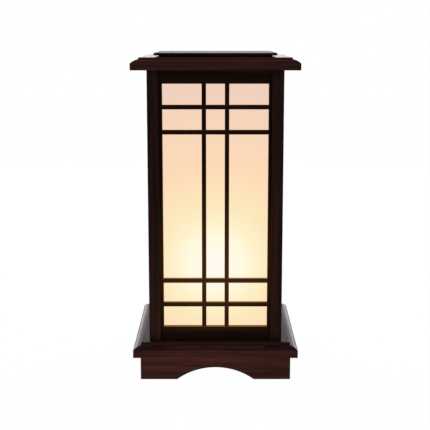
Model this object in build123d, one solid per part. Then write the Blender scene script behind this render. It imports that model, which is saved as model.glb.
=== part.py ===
from build123d import *
import math
import os

# Andon floor lamp: a square wooden lantern on an arched plinth, with a lid that lifts off.
# Millimetres. +Z is up, the origin is on the floor under the lamp's centre, and the front
# faces -Y. The four sides are alike, so each side piece is made at the front and turned.

# ---- Overall sizes ---------------------------------------------------------------------
TOTAL_HEIGHT = 660.0
BODY_WIDTH = 270.0

# ---- Plinth: pads, aprons, corner blocks and moulded board -----------------------------
PAD_DIAMETER = 24.0
PAD_THICKNESS = 1.0
APRON_HEIGHT = 50.0
APRON_THICKNESS = 18.0
APRON_REVEAL = 14.0  # how far the plinth board's edge stands out past the aprons
ARCH_CHORD = 156.0
ARCH_RISE = 25.5
CORNER_BLOCK_WIDTH = 30.0
CORNER_BLOCK_CHAMFER = 8.0
PLINTH_OVERHANG = 31.5  # board edge past the body
PLINTH_EDGE_HEIGHT = 17.0

# ---- Moulding shared by the plinth board and the lid board -----------------------------
OVOLO_RUN = 13.5
OVOLO_RISE = 7.8
OVOLO_RADIUS = 26.0
STEP_LEDGE = 1.0
STEP_RUN = 1.5
STEP_RISE = 3.7

# ---- Body frame ------------------------------------------------------------------------
LIP_DEPTH = 7.0  # from the post's face back to the lattice and rails
LIP_OVERLAP = 3.0  # how far the post's lip covers their ends
POST_ARRIS = 2.0
LIP_ARRIS = 1.0
RAIL_SETBACK = 1.0  # rail's back in front of the post's inner face
TOP_RAIL_HEIGHT = 19.5
BOTTOM_RAIL_HEIGHT = 17.5
TENON_THICKNESS = 6.0
TENON_SHOULDER = 3.0
TENON_CLEARANCE = 0.2

# ---- Lattice ---------------------------------------------------------------------------
LATTICE_CLEARANCE = 0.25  # between the border and a post
BORDER_DEPTH = 13.0
BORDER_STILE_WIDTH = 9.5
BORDER_RAIL_HEIGHT = 7.8
BAR_WIDTH = 8.8
BAR_DEPTH = 9.0
BAR_PITCH = 46.0  # between the two upright bars
OUTER_CELL = 41.8  # clear height of the top and bottom rows of cells
INNER_CELL = 41.0  # clear height of the rows next to them
BAR_HOUSING = 3.0  # how far a bar's end goes into the border
LAP_CLEARANCE = 0.1

# ---- Panels, beads and sill strips -----------------------------------------------------
PANEL_THICKNESS = 3.0
PANEL_CORNER_GAP = 2.0  # from a panel's edge to the inner face of the panel next to it
PANEL_TOP_GAP = 2.0  # panel top below the lattice's top
PANEL_CLEARANCE = 0.2  # between a panel and its beads
BEAD_COVER = 5.0  # how far a bead's wing covers a panel
BEAD_WING_THICKNESS = 3.3
SILL_DEPTH = 14.0
SILL_END_GAP = 2.0

# ---- Lid -------------------------------------------------------------------------------
LID_OVERHANG = 30.0
LID_EDGE_HEIGHT = 13.0
LID_OPENING_MARGIN = 13.0  # from a cleat's inner face to the opening's edge
LID_OPENING_RADIUS = 8.0
CLEAT_THICKNESS = 12.0
CLEAT_HEIGHT = 15.0
CLEAT_CLEARANCE = 1.0  # play between a cleat and the top rail
CLEAT_LEAD = 2.0  # chamfer that guides the lid home
CLEAT_END_GAP = 8.0
PLATE_THICKNESS = 5.0
PLATE_SETBACK = 43.5  # plate edge inside the lid board's edge
PLATE_CORNER_RADIUS = 12.0
PLATE_EDGE_RADIUS = 2.0
SPACER_HEIGHT = 3.0
SPACER_WIDTH = 12.0
SPACER_SETBACK = 10.0  # spacer face inside the plate's edge
VENT_GAP = 18.0  # open corner between neighbouring spacer strips

# ---- Lamp support ----------------------------------------------------------------------
PIPE_RADIUS = 5.0
PIPE_BORE_RADIUS = 3.5
PIPE_DROP = 8.0  # pipe below the plinth board
PIPE_HOLE_CLEARANCE = 0.4
PIPE_ENTRY = 8.0  # pipe inside the lampholder's cap
NUT_ACROSS_FLATS = 14.0
NUT_HEIGHT = 4.0
WASHER_RADIUS = 10.0
WASHER_THICKNESS = 1.5
BUSH_BORE_RADIUS = 2.8
BUSH_FLANGE_RADIUS = 5.8
BUSH_FLANGE_THICKNESS = 1.5
BUSH_LENGTH = 8.0
SEATING_RADIUS = 16.0
SEATING_HEIGHT = 3.0
SEATING_EDGE_HEIGHT = 1.0
SEATING_TOP_MARGIN = 1.0
SLEEVE_RADIUS = 8.0
SLEEVE_WALL = 1.0
SLEEVE_LENGTH = 52.0

# ---- Bulb, heights above its contact's tip ---------------------------------------------
BULB_LENGTH = 108.0
BULB_GLASS_RADIUS = 30.0
BULB_GLASS_WALL = 1.0
BULB_SHOULDER_RADIUS = 30.0  # of the hollow curve between the globe and the neck
BULB_NECK_SEAT = 6.0  # neck inside the cap
BULB_NECK_CLEARANCE = 0.1
BULB_CAP_RADIUS = 13.2
BULB_CAP_WALL = 0.4
BULB_CAP_TOP = 27.0
BULB_INSULATOR_RADIUS = 11.5
BULB_INSULATOR_TOP = 4.5
BULB_CONTACT_RADIUS = 4.5
BULB_CONTACT_HEIGHT = 1.6

# ---- Lampholder, built round the bulb's cap --------------------------------------------
BULB_THREAD_PLAY = 0.4  # between the bulb's cap and the screw shell
BULB_TIP_GAP = 0.3
SCREW_SHELL_WALL = 0.5
SCREW_SHELL_HEIGHT = 26.0
SCREW_SHELL_HOLE_RADIUS = 6.0
CONTACT_RADIUS = 3.5
CONTACT_HEIGHT = 2.2
INSULATOR_WALL = 1.7
INSULATOR_HEIGHT = 14.0
INSULATOR_RECESS = 4.0
INSULATOR_SIDE_GAP = 0.5
INSULATOR_LIFT = 1.0  # insulator above the cap's cone
HOLDER_WALL = 1.2
HOLDER_FLOOR = 2.5
HOLDER_CONE_HEIGHT = 9.0
HOLDER_CAP_HEIGHT = 14.0
HOLDER_TOP_GAP = 6.0  # holder's rim above the screw shell
HOLDER_RIM_HEIGHT = 3.5
HOLDER_RIM_OVERHANG = 1.5
HOLDER_LIP_GAP = 2.0  # between the bulb's cap and the turned-in rim
HOLDER_NUT_GAP = 0.4


# ---- Places worked out from the sizes above, in plan -----------------------------------
BODY_FACE = BODY_WIDTH / 2
POST_CORE = LIP_DEPTH + BORDER_DEPTH  # the post behind its lips
POST_FACE = POST_CORE + LIP_OVERLAP
RAIL_BACK = POST_CORE - RAIL_SETBACK
TENON_FRONT = (LIP_DEPTH + RAIL_BACK - TENON_THICKNESS) / 2
PANEL_BACK = POST_CORE + PANEL_THICKNESS
PANEL_EDGE = PANEL_BACK + PANEL_CORNER_GAP
BEAD_REACH = PANEL_EDGE + BEAD_COVER
BAR_FRONT = POST_CORE - BAR_DEPTH
OPENING_EDGE = BODY_FACE - POST_CORE - BORDER_STILE_WIDTH
SILL_BACK = RAIL_BACK + SILL_DEPTH
CLEAT_FACE = RAIL_BACK + CLEAT_CLEARANCE
CLEAT_BACK = CLEAT_FACE + CLEAT_THICKNESS
PLINTH_BOARD_WIDTH = BODY_WIDTH + 2 * PLINTH_OVERHANG
LID_BOARD_WIDTH = BODY_WIDTH + 2 * LID_OVERHANG
LID_OPENING = 2 * (BODY_FACE - CLEAT_BACK - LID_OPENING_MARGIN)
APRON_FACE = PLINTH_BOARD_WIDTH / 2 - APRON_REVEAL
APRON_BACK = APRON_FACE - APRON_THICKNESS
PLATE_WIDTH = LID_BOARD_WIDTH - 2 * PLATE_SETBACK
SPACER_FACE = PLATE_WIDTH / 2 - SPACER_SETBACK
MOULDING_RUN = OVOLO_RUN + STEP_LEDGE + STEP_RUN
SCREW_SHELL_RADIUS = BULB_CAP_RADIUS + BULB_THREAD_PLAY
INSULATOR_RADIUS = SCREW_SHELL_RADIUS + SCREW_SHELL_WALL + INSULATOR_WALL
HOLDER_BORE = INSULATOR_RADIUS + INSULATOR_SIDE_GAP
HOLDER_RADIUS = HOLDER_BORE + HOLDER_WALL
HOLDER_NECK = NUT_ACROSS_FLATS / math.sqrt(3) + HOLDER_NUT_GAP

# ---- Places worked out from the sizes above, in height ---------------------------------
MOULDING_RISE = OVOLO_RISE + STEP_RISE
PLINTH_BOTTOM = PAD_THICKNESS + APRON_HEIGHT
PLINTH_TOP = PLINTH_BOTTOM + PLINTH_EDGE_HEIGHT + MOULDING_RISE
PLATE_BOTTOM = TOTAL_HEIGHT - PLATE_THICKNESS
LID_TOP = PLATE_BOTTOM - SPACER_HEIGHT
LID_BOTTOM = LID_TOP - LID_EDGE_HEIGHT - MOULDING_RISE
CLEAT_BOTTOM = LID_BOTTOM - CLEAT_HEIGHT
LATTICE_BOTTOM = PLINTH_TOP + BOTTOM_RAIL_HEIGHT
LATTICE_TOP = LID_BOTTOM - TOP_RAIL_HEIGHT
OPENING_BOTTOM = LATTICE_BOTTOM + BORDER_RAIL_HEIGHT
OPENING_TOP = LATTICE_TOP - BORDER_RAIL_HEIGHT
PANEL_TOP = LATTICE_TOP - PANEL_TOP_GAP
PIPE_BOTTOM = PLINTH_BOTTOM - PIPE_DROP
SLEEVE_BOTTOM = PLINTH_TOP + SEATING_HEIGHT
HOLDER_BASE = SLEEVE_BOTTOM + SLEEVE_LENGTH
HOLDER_JOINT = HOLDER_BASE + HOLDER_CAP_HEIGHT  # where the shell stands on the cap
INSULATOR_BASE = HOLDER_BASE + HOLDER_CONE_HEIGHT + INSULATOR_LIFT
INSULATOR_TOP = INSULATOR_BASE + INSULATOR_HEIGHT
SCREW_SHELL_BASE = INSULATOR_TOP - INSULATOR_RECESS
SCREW_SHELL_TOP = SCREW_SHELL_BASE + SCREW_SHELL_HEIGHT
HOLDER_TOP = SCREW_SHELL_TOP + HOLDER_TOP_GAP
BULB_TIP = SCREW_SHELL_BASE + CONTACT_HEIGHT + BULB_TIP_GAP

CUT = 1.0  # how far a cutting shape runs past the surface it cuts
SIDES = ("front", "right", "back", "left")
CORNERS = ("front_left", "front_right", "back_right", "back_left")


# ---- Shapes used by several pieces -----------------------------------------------------
def span(centre, width):
    return (centre - width / 2, centre + width / 2)


def block(x, y, z):
    """A box between two values on each axis, each given as a (low, high) pair."""
    centre = [(low + high) / 2 for low, high in (x, y, z)]
    return Pos(*centre) * Box(x[1] - x[0], y[1] - y[0], z[1] - z[0])


def front_block(x, depth, z):
    """A box at the front side, whose depth is measured inwards from the body's face."""
    return block(x, (depth[0] - BODY_FACE, depth[1] - BODY_FACE), z)


def prism(outline, bottom, top):
    """An upright prism on an outline of (x, y) points."""
    face = make_face(Polyline(*outline, close=True))
    return Pos(0, 0, bottom) * extrude(face, amount=top - bottom)


def corner_prism(outline, bottom, top):
    """A prism at the front left corner, from points measured inwards from both faces."""
    return prism([(u - BODY_FACE, v - BODY_FACE) for u, v in outline], bottom, top)


def turned(piece, quarter):
    """The piece after so many quarter turns about the lamp's axis."""
    return Rot(0, 0, 90 * quarter) * piece


def all_round(piece):
    """The piece on each of the four sides, as one node."""
    return Compound([turned(piece, quarter) for quarter in range(4)])


def lathe(*lines):
    """A solid turned about the Z axis, from a closed outline in the XZ plane."""
    return revolve(Plane.XZ * make_face(list(lines)), axis=Axis.Z)


def turned_outline(*points):
    """A solid turned about the Z axis from (radius, height) points."""
    return lathe(Polyline(*points, close=True))


def tube(radius, bore, bottom, top):
    return turned_outline((bore, bottom), (radius, bottom), (radius, top), (bore, top))


def arc_between(start, end, radius):
    """An arc of a radius from start to end that bulges to the right of that direction."""
    start, end = Vector(*start), Vector(*end)
    half = (end - start).length / 2
    sagitta = radius - math.sqrt(radius**2 - half**2)
    along = (end - start).normalized()
    middle = (start + end) / 2 + Vector(along.Y, -along.X) * sagitta
    return ThreePointArc(start, middle, end)


def moulded_board(width, edge_height, bottom):
    """A square board with its moulding mitred round all four edges.

    The section is run along Y and along X, and the board is what both runs share.
    """
    edge = width / 2
    ovolo_edge = edge - OVOLO_RUN
    ovolo_top = edge_height + OVOLO_RISE
    board_top = edge_height + MOULDING_RISE
    right_half = [
        Polyline((0, 0), (edge, 0), (edge, edge_height)),
        arc_between((edge, edge_height), (ovolo_edge, ovolo_top), OVOLO_RADIUS),
        Polyline(
            (ovolo_edge, ovolo_top),
            (ovolo_edge - STEP_LEDGE, ovolo_top),
            (edge - MOULDING_RUN, board_top),
            (0, board_top),
        ),
    ]
    left_half = [line.mirror(Plane.YZ) for line in right_half]
    section = Plane.XZ * make_face([*right_half, *left_half])
    run = extrude(section, amount=edge, both=True)
    return Pos(0, 0, bottom) * (run & turned(run, 1))


def hexagon_nut(bottom):
    outline = RegularPolygon(NUT_ACROSS_FLATS / 2, 6, major_radius=False)
    nut = Pos(0, 0, bottom) * extrude(outline, amount=NUT_HEIGHT)
    return nut - tube(PIPE_RADIUS, 0, bottom - CUT, bottom + NUT_HEIGHT + CUT)


# ---- Plinth ----------------------------------------------------------------------------
def apron():
    """Front apron, mitred at both ends, with a shallow arch cut through it."""
    plan = [
        (-APRON_FACE, -APRON_FACE),
        (APRON_FACE, -APRON_FACE),
        (APRON_BACK, -APRON_BACK),
        (-APRON_BACK, -APRON_BACK),
    ]
    board = prism(plan, PAD_THICKNESS, PLINTH_BOTTOM)
    arch_radius = (ARCH_CHORD**2 / 4 + ARCH_RISE**2) / (2 * ARCH_RISE)
    arch = Rot(90, 0, 0) * Cylinder(arch_radius, PLINTH_BOARD_WIDTH)
    return board - Pos(0, 0, PAD_THICKNESS + ARCH_RISE - arch_radius) * arch


def corner_block():
    """Front left glue block behind the mitre of two aprons, with its inner corner cut off."""
    near, far = APRON_BACK, APRON_BACK - CORNER_BLOCK_WIDTH
    cut = far + CORNER_BLOCK_CHAMFER
    plan = [(-near, -near), (-far, -near), (-far, -cut), (-cut, -far), (-near, -far)]
    return prism(plan, PAD_THICKNESS, PLINTH_BOTTOM)


def foot_pad():
    """Front left pad, under its corner block."""
    centre = APRON_BACK - CORNER_BLOCK_WIDTH / 2
    return Pos(-centre, -centre) * tube(PAD_DIAMETER / 2, 0, 0, PAD_THICKNESS)


def plinth_board():
    """Moulded board that carries the body, with a hole for the lamp's pipe."""
    board = moulded_board(PLINTH_BOARD_WIDTH, PLINTH_EDGE_HEIGHT, PLINTH_BOTTOM)
    return board - tube(PIPE_RADIUS + PIPE_HOLE_CLEARANCE, 0, PLINTH_BOTTOM - CUT, PLINTH_TOP + CUT)


# ---- Body frame ------------------------------------------------------------------------
def rail_levels():
    """(bottom, top) of the bottom rail and of the top rail."""
    return (PLINTH_TOP, LATTICE_BOTTOM), (LATTICE_TOP, LID_BOTTOM)


def rounded_upright(stock, place, radius):
    """The stock with its upright edge nearest to a place in plan rounded."""
    u, v = place
    middle = (u - BODY_FACE, v - BODY_FACE, (PLINTH_TOP + LID_BOTTOM) / 2)
    uprights = stock.edges().filter_by(Axis.Z)
    return fillet(uprights.sort_by_distance(middle)[:1], radius)


def post():
    """Front left post: a core with a lip along both faces, mortised for four rails."""
    outline = [
        (0, 0),
        (POST_FACE, 0),
        (POST_FACE, LIP_DEPTH),
        (POST_CORE, LIP_DEPTH),
        (POST_CORE, POST_CORE),
        (LIP_DEPTH, POST_CORE),
        (LIP_DEPTH, POST_FACE),
        (0, POST_FACE),
    ]
    stock = corner_prism(outline, PLINTH_TOP, LID_BOTTOM)
    stock = rounded_upright(stock, (0, 0), POST_ARRIS)
    stock = rounded_upright(stock, (POST_FACE, 0), LIP_ARRIS)
    stock = rounded_upright(stock, (0, POST_FACE), LIP_ARRIS)
    near = TENON_FRONT - TENON_CLEARANCE
    far = TENON_FRONT + TENON_THICKNESS + TENON_CLEARANCE
    mouth = POST_CORE + CUT
    mortise = [(near, near), (mouth, near), (mouth, far), (far, far), (far, mouth), (near, mouth)]
    inset = TENON_SHOULDER - TENON_CLEARANCE
    for bottom, top in rail_levels():
        stock -= corner_prism(mortise, bottom + inset, top - inset)
    return stock


def rail(bottom, top):
    """Front rail between two posts, with a tenon at each end mitred to meet its neighbour."""
    shoulder = BODY_FACE - POST_CORE
    bar = front_block((-shoulder, shoulder), (LIP_DEPTH, RAIL_BACK), (bottom, top))
    front, back = TENON_FRONT, TENON_FRONT + TENON_THICKNESS
    plan = [
        (POST_CORE, front),
        (POST_CORE, back),
        (back + TENON_CLEARANCE, back),
        (front + TENON_CLEARANCE, front),
    ]
    tenon = corner_prism(plan, bottom + TENON_SHOULDER, top - TENON_SHOULDER)
    return bar + tenon + tenon.mirror(Plane.YZ)


# ---- Lattice ---------------------------------------------------------------------------
def bar_heights():
    """Centre heights of the four level bars, from the bottom up."""
    outer = OUTER_CELL + BAR_WIDTH / 2
    inner = outer + BAR_WIDTH + INNER_CELL
    return (OPENING_BOTTOM + outer, OPENING_BOTTOM + inner, OPENING_TOP - inner, OPENING_TOP - outer)


def bar_offsets():
    return (-BAR_PITCH / 2, BAR_PITCH / 2)


def upright_bar(offset):
    """Upright bar, cut away in front where each level bar laps over it."""
    ends = (OPENING_BOTTOM - BAR_HOUSING, OPENING_TOP + BAR_HOUSING)
    bar = front_block(span(offset, BAR_WIDTH), (BAR_FRONT, POST_CORE), ends)
    lap = (BAR_FRONT - CUT, BAR_FRONT + BAR_DEPTH / 2 + LAP_CLEARANCE)
    for height in bar_heights():
        level = span(height, BAR_WIDTH + 2 * LAP_CLEARANCE)
        bar -= front_block(span(offset, BAR_WIDTH + 2 * CUT), lap, level)
    return bar


def level_bar(height):
    """Level bar, cut away behind where it laps over each upright bar."""
    reach = OPENING_EDGE + BAR_HOUSING
    bar = front_block((-reach, reach), (BAR_FRONT, POST_CORE), span(height, BAR_WIDTH))
    lap = (BAR_FRONT + BAR_DEPTH / 2, POST_CORE + CUT)
    for offset in bar_offsets():
        across = span(offset, BAR_WIDTH + 2 * LAP_CLEARANCE)
        bar -= front_block(across, lap, span(height, BAR_WIDTH + 2 * CUT))
    return bar


def lattice_bars():
    uprights = [upright_bar(offset) for offset in bar_offsets()]
    levels = [level_bar(height) for height in bar_heights()]
    return Compound([*uprights, *levels])


def lattice_border():
    """Two stiles and two rails round a lattice, notched behind for the ends of its bars."""
    outer = BODY_FACE - POST_CORE - LATTICE_CLEARANCE
    depth = (LIP_DEPTH, POST_CORE)
    notch_width = BAR_WIDTH + 2 * LAP_CLEARANCE
    notch_depth = (BAR_FRONT - LAP_CLEARANCE, POST_CORE + CUT)
    reach = BAR_HOUSING + LAP_CLEARANCE
    stile = front_block((OPENING_EDGE, outer), depth, (LATTICE_BOTTOM, LATTICE_TOP))
    for height in bar_heights():
        mouth = (OPENING_EDGE - CUT, OPENING_EDGE + reach)
        stile -= front_block(mouth, notch_depth, span(height, notch_width))
    bottom_rail = front_block((-OPENING_EDGE, OPENING_EDGE), depth, (LATTICE_BOTTOM, OPENING_BOTTOM))
    for offset in bar_offsets():
        mouth = (OPENING_BOTTOM - reach, OPENING_BOTTOM + CUT)
        bottom_rail -= front_block(span(offset, notch_width), notch_depth, mouth)
    middle = Plane.XY.offset((LATTICE_BOTTOM + LATTICE_TOP) / 2)
    return Compound([stile, stile.mirror(Plane.YZ), bottom_rail, bottom_rail.mirror(middle)])


# ---- Panels, beads and sill strips -----------------------------------------------------
def panel():
    """Frosted panel behind the lattice, standing on the sill strip."""
    edge = BODY_FACE - PANEL_EDGE
    return front_block((-edge, edge), (POST_CORE, PANEL_BACK), (LATTICE_BOTTOM, PANEL_TOP))


def corner_bead():
    """Front left bead: a tongue between two panels' edges, and a wing behind each panel."""
    tongue = PANEL_EDGE - PANEL_CLEARANCE
    wing_front = PANEL_BACK + PANEL_CLEARANCE
    wing_back = wing_front + BEAD_WING_THICKNESS
    outline = [
        (POST_CORE, POST_CORE),
        (tongue, POST_CORE),
        (tongue, wing_front),
        (BEAD_REACH, wing_front),
        (BEAD_REACH, wing_back),
        (wing_back, BEAD_REACH),
        (wing_front, BEAD_REACH),
        (wing_front, tongue),
        (POST_CORE, tongue),
    ]
    return corner_prism(outline, PLINTH_TOP, PANEL_TOP)


def sill_strip():
    """Front sill strip behind the bottom rail, which carries the panel."""
    end = BODY_FACE - max(SILL_BACK, BEAD_REACH) - SILL_END_GAP
    return front_block((-end, end), (RAIL_BACK, SILL_BACK), (PLINTH_TOP, LATTICE_BOTTOM))


# ---- Lid -------------------------------------------------------------------------------
def lid_board():
    """Moulded board with a rounded square opening that lets the heat out."""
    board = moulded_board(LID_BOARD_WIDTH, LID_EDGE_HEIGHT, LID_BOTTOM)
    opening = extrude(
        RectangleRounded(LID_OPENING, LID_OPENING, LID_OPENING_RADIUS),
        amount=LID_TOP - LID_BOTTOM + 2 * CUT,
    )
    return board - Pos(0, 0, LID_BOTTOM - CUT) * opening


def lid_cleat():
    """Front cleat, which drops inside the top rail and keeps the lid in place."""
    end = BODY_FACE - CLEAT_BACK - CLEAT_END_GAP
    cleat = front_block((-end, end), (CLEAT_FACE, CLEAT_BACK), (CLEAT_BOTTOM, LID_BOTTOM))
    lower_edges = cleat.edges().filter_by(Axis.X).group_by(Axis.Z)[0]
    return chamfer(lower_edges.sort_by(Axis.Y)[:1], CLEAT_LEAD)


def spacer_strips():
    """Strips under the top plate: full width in front and behind, shorter at the sides."""

    def strip(end):
        return block((-end, end), (-SPACER_FACE, SPACER_WIDTH - SPACER_FACE), (LID_TOP, PLATE_BOTTOM))

    full, short = strip(SPACER_FACE), strip(SPACER_FACE - SPACER_WIDTH - VENT_GAP)
    return Compound([full, turned(short, 1), turned(full, 2), turned(short, 3)])


def top_plate():
    plan = RectangleRounded(PLATE_WIDTH, PLATE_WIDTH, PLATE_CORNER_RADIUS)
    plate = Pos(0, 0, PLATE_BOTTOM) * extrude(plan, amount=PLATE_THICKNESS)
    rims = plate.edges().group_by(Axis.Z)
    return fillet([*rims[0], *rims[-1]], PLATE_EDGE_RADIUS)


# ---- Lamp support ----------------------------------------------------------------------
def lock_nuts():
    """One nut under the plinth board, and one inside the lampholder's cap."""
    under = hexagon_nut(PLINTH_BOTTOM - WASHER_THICKNESS - NUT_HEIGHT)
    return Compound([under, hexagon_nut(HOLDER_BASE + HOLDER_FLOOR)])


def cord_bush():
    """Flanged bush in the pipe's lower end, which guards the cord from the pipe's edge."""
    flange_bottom = PIPE_BOTTOM - BUSH_FLANGE_THICKNESS
    bush_top = PIPE_BOTTOM + BUSH_LENGTH
    return turned_outline(
        (BUSH_BORE_RADIUS, flange_bottom),
        (BUSH_FLANGE_RADIUS, flange_bottom),
        (BUSH_FLANGE_RADIUS, PIPE_BOTTOM),
        (PIPE_BORE_RADIUS, PIPE_BOTTOM),
        (PIPE_BORE_RADIUS, bush_top),
        (BUSH_BORE_RADIUS, bush_top),
    )


def seating_ring():
    """Low dished ring on the plinth board that centres the sleeve tube."""
    return turned_outline(
        (PIPE_RADIUS, PLINTH_TOP),
        (SEATING_RADIUS, PLINTH_TOP),
        (SEATING_RADIUS, PLINTH_TOP + SEATING_EDGE_HEIGHT),
        (SLEEVE_RADIUS + SEATING_TOP_MARGIN, SLEEVE_BOTTOM),
        (PIPE_RADIUS, SLEEVE_BOTTOM),
    )


def lamp_support():
    """The threaded pipe that stands on the plinth board, and what is on it."""
    return {
        "lamp_pipe": tube(PIPE_RADIUS, PIPE_BORE_RADIUS, PIPE_BOTTOM, HOLDER_BASE + PIPE_ENTRY),
        "pipe_washer": tube(WASHER_RADIUS, PIPE_RADIUS, PLINTH_BOTTOM - WASHER_THICKNESS, PLINTH_BOTTOM),
        "lock_nuts": lock_nuts(),
        "cord_bush": cord_bush(),
        "seating_ring": seating_ring(),
        "sleeve_tube": tube(SLEEVE_RADIUS, SLEEVE_RADIUS - SLEEVE_WALL, SLEEVE_BOTTOM, HOLDER_BASE),
    }


# ---- Lampholder ------------------------------------------------------------------------
def lampholder_cap():
    """Spun cup on top of the sleeve tube, held down by the nut inside it."""
    cone_top = HOLDER_BASE + HOLDER_CONE_HEIGHT
    floor = HOLDER_BASE + HOLDER_FLOOR
    return turned_outline(
        (PIPE_RADIUS, HOLDER_BASE),
        (HOLDER_NECK, HOLDER_BASE),
        (HOLDER_RADIUS, cone_top),
        (HOLDER_RADIUS, HOLDER_JOINT),
        (HOLDER_BORE, HOLDER_JOINT),
        (HOLDER_BORE, cone_top + HOLDER_WALL),
        (HOLDER_NECK, floor),
        (PIPE_RADIUS, floor),
    )


def lampholder_shell():
    """Straight shell with a thick rim, which turns in over the screw shell."""
    rim = HOLDER_RADIUS + HOLDER_RIM_OVERHANG
    rim_bottom = HOLDER_TOP - HOLDER_RIM_HEIGHT
    lip = BULB_CAP_RADIUS + HOLDER_LIP_GAP
    return turned_outline(
        (HOLDER_BORE, HOLDER_JOINT),
        (HOLDER_RADIUS, HOLDER_JOINT),
        (HOLDER_RADIUS, rim_bottom),
        (rim, rim_bottom + HOLDER_RIM_OVERHANG),
        (rim, HOLDER_TOP),
        (lip, HOLDER_TOP),
        (lip, HOLDER_TOP - HOLDER_WALL),
        (HOLDER_BORE, HOLDER_TOP - HOLDER_WALL),
    )


def lampholder_insulator():
    """Porcelain block that carries the screw shell in a recess in its top."""
    recess = SCREW_SHELL_RADIUS + SCREW_SHELL_WALL
    return turned_outline(
        (0, INSULATOR_BASE),
        (INSULATOR_RADIUS, INSULATOR_BASE),
        (INSULATOR_RADIUS, INSULATOR_TOP),
        (recess, INSULATOR_TOP),
        (recess, SCREW_SHELL_BASE),
        (0, SCREW_SHELL_BASE),
    )


def screw_shell():
    """Thin brass cup that takes the bulb's thread, with a hole for the centre contact."""
    outer = SCREW_SHELL_RADIUS + SCREW_SHELL_WALL
    floor = SCREW_SHELL_BASE + SCREW_SHELL_WALL
    return turned_outline(
        (SCREW_SHELL_HOLE_RADIUS, SCREW_SHELL_BASE),
        (outer, SCREW_SHELL_BASE),
        (outer, SCREW_SHELL_TOP),
        (SCREW_SHELL_RADIUS, SCREW_SHELL_TOP),
        (SCREW_SHELL_RADIUS, floor),
        (SCREW_SHELL_HOLE_RADIUS, floor),
    )


def lampholder():
    contact_top = SCREW_SHELL_BASE + CONTACT_HEIGHT
    return {
        "lampholder_cap": lampholder_cap(),
        "lampholder_shell": lampholder_shell(),
        "lampholder_insulator": lampholder_insulator(),
        "screw_shell": screw_shell(),
        "centre_contact": tube(CONTACT_RADIUS, 0, SCREW_SHELL_BASE, contact_top),
    }


# ---- Bulb ------------------------------------------------------------------------------
def bulb_outline(inset):
    """From the crown to the neck's foot, so far inside the glass's outer surface.

    A hollow shoulder arc touches the globe's circle and the neck's straight side.
    """
    centre = BULB_TIP + BULB_LENGTH - BULB_GLASS_RADIUS
    globe = BULB_GLASS_RADIUS - inset
    neck = BULB_CAP_RADIUS - BULB_CAP_WALL - BULB_NECK_CLEARANCE - inset
    shoulder = BULB_SHOULDER_RADIUS + inset
    between = globe + shoulder  # distance between the two arcs' centres
    across = neck + shoulder
    down = math.sqrt(between**2 - across**2)
    angle = math.atan2(down, across)
    neck_top = centre - down

    def on_shoulder(turn):
        """A point on the shoulder arc, at an angle above the level of its centre."""
        return (across - shoulder * math.cos(turn), neck_top + shoulder * math.sin(turn))

    meeting = (globe * math.cos(angle), centre - globe * math.sin(angle))
    neck_foot = (neck, BULB_TIP + BULB_CAP_TOP - BULB_NECK_SEAT)
    return [
        ThreePointArc((0, centre + globe), (globe, centre), meeting),
        ThreePointArc(meeting, on_shoulder(angle / 2), on_shoulder(0)),
        Line(on_shoulder(0), neck_foot),
    ]


def bulb_envelope():
    """Blown glass globe that runs into a neck, open at its foot inside the cap."""
    outside, inside = bulb_outline(0), bulb_outline(BULB_GLASS_WALL)
    crown = Line(outside[0] @ 0, inside[0] @ 0)
    foot = Line(outside[-1] @ 1, inside[-1] @ 1)
    return lathe(*outside, foot, *inside, crown)


def bulb_cap():
    """Screw cap round the neck's foot, closed below by the bulb's insulator."""
    inner = BULB_CAP_RADIUS - BULB_CAP_WALL
    bottom = BULB_TIP + BULB_INSULATOR_TOP
    top = BULB_TIP + BULB_CAP_TOP
    slope = BULB_CAP_RADIUS - BULB_INSULATOR_RADIUS
    return turned_outline(
        (BULB_INSULATOR_RADIUS, bottom),
        (BULB_CAP_RADIUS, bottom + slope),
        (BULB_CAP_RADIUS, top),
        (inner, top),
        (inner, bottom + slope),
        (BULB_INSULATOR_RADIUS, bottom + BULB_CAP_WALL),
    )


def bulb_contact():
    """Dark insulator that tapers to the contact at the bulb's tip."""
    shoulder = BULB_TIP + BULB_INSULATOR_TOP
    return turned_outline(
        (0, BULB_TIP),
        (BULB_CONTACT_RADIUS, BULB_TIP),
        (BULB_CONTACT_RADIUS, BULB_TIP + BULB_CONTACT_HEIGHT),
        (BULB_INSULATOR_RADIUS, shoulder),
        (BULB_INSULATOR_RADIUS, shoulder + BULB_CAP_WALL),
        (0, shoulder + BULB_CAP_WALL),
    )


def bulb():
    return {"bulb_envelope": bulb_envelope(), "bulb_cap": bulb_cap(), "bulb_contact": bulb_contact()}


# ---- All the nodes ---------------------------------------------------------------------
def four_nodes(name, piece, places):
    """One node for each quarter turn of a piece, named after its place."""
    return {f"{name}_{place}": turned(piece, quarter) for quarter, place in enumerate(places)}


def plinth():
    return {
        "foot_pads": all_round(foot_pad()),
        "corner_blocks": all_round(corner_block()),
        "plinth_board": plinth_board(),
        **four_nodes("apron", apron(), SIDES),
    }


def body():
    bottom_rail, top_rail = (rail(*levels) for levels in rail_levels())
    return {
        "sill_strips": all_round(sill_strip()),
        **four_nodes("post", post(), CORNERS),
        **four_nodes("bottom_rail", bottom_rail, SIDES),
        **four_nodes("top_rail", top_rail, SIDES),
        **four_nodes("lattice_border", lattice_border(), SIDES),
        **four_nodes("lattice_bars", lattice_bars(), SIDES),
        **four_nodes("panel", panel(), SIDES),
        **four_nodes("corner_bead", corner_bead(), CORNERS),
    }


def lid():
    return {
        "lid_board": lid_board(),
        "lid_cleats": all_round(lid_cleat()),
        "spacer_strips": spacer_strips(),
        "top_plate": top_plate(),
    }


os.makedirs("parts", exist_ok=True)
for group in (plinth(), body(), lid(), lamp_support(), lampholder(), bulb()):
    for name, part in group.items():
        export_step(part, f"parts/{name}.step")
        print(name, len(part.solids()), "solids", round(part.volume), "mm3")
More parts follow.
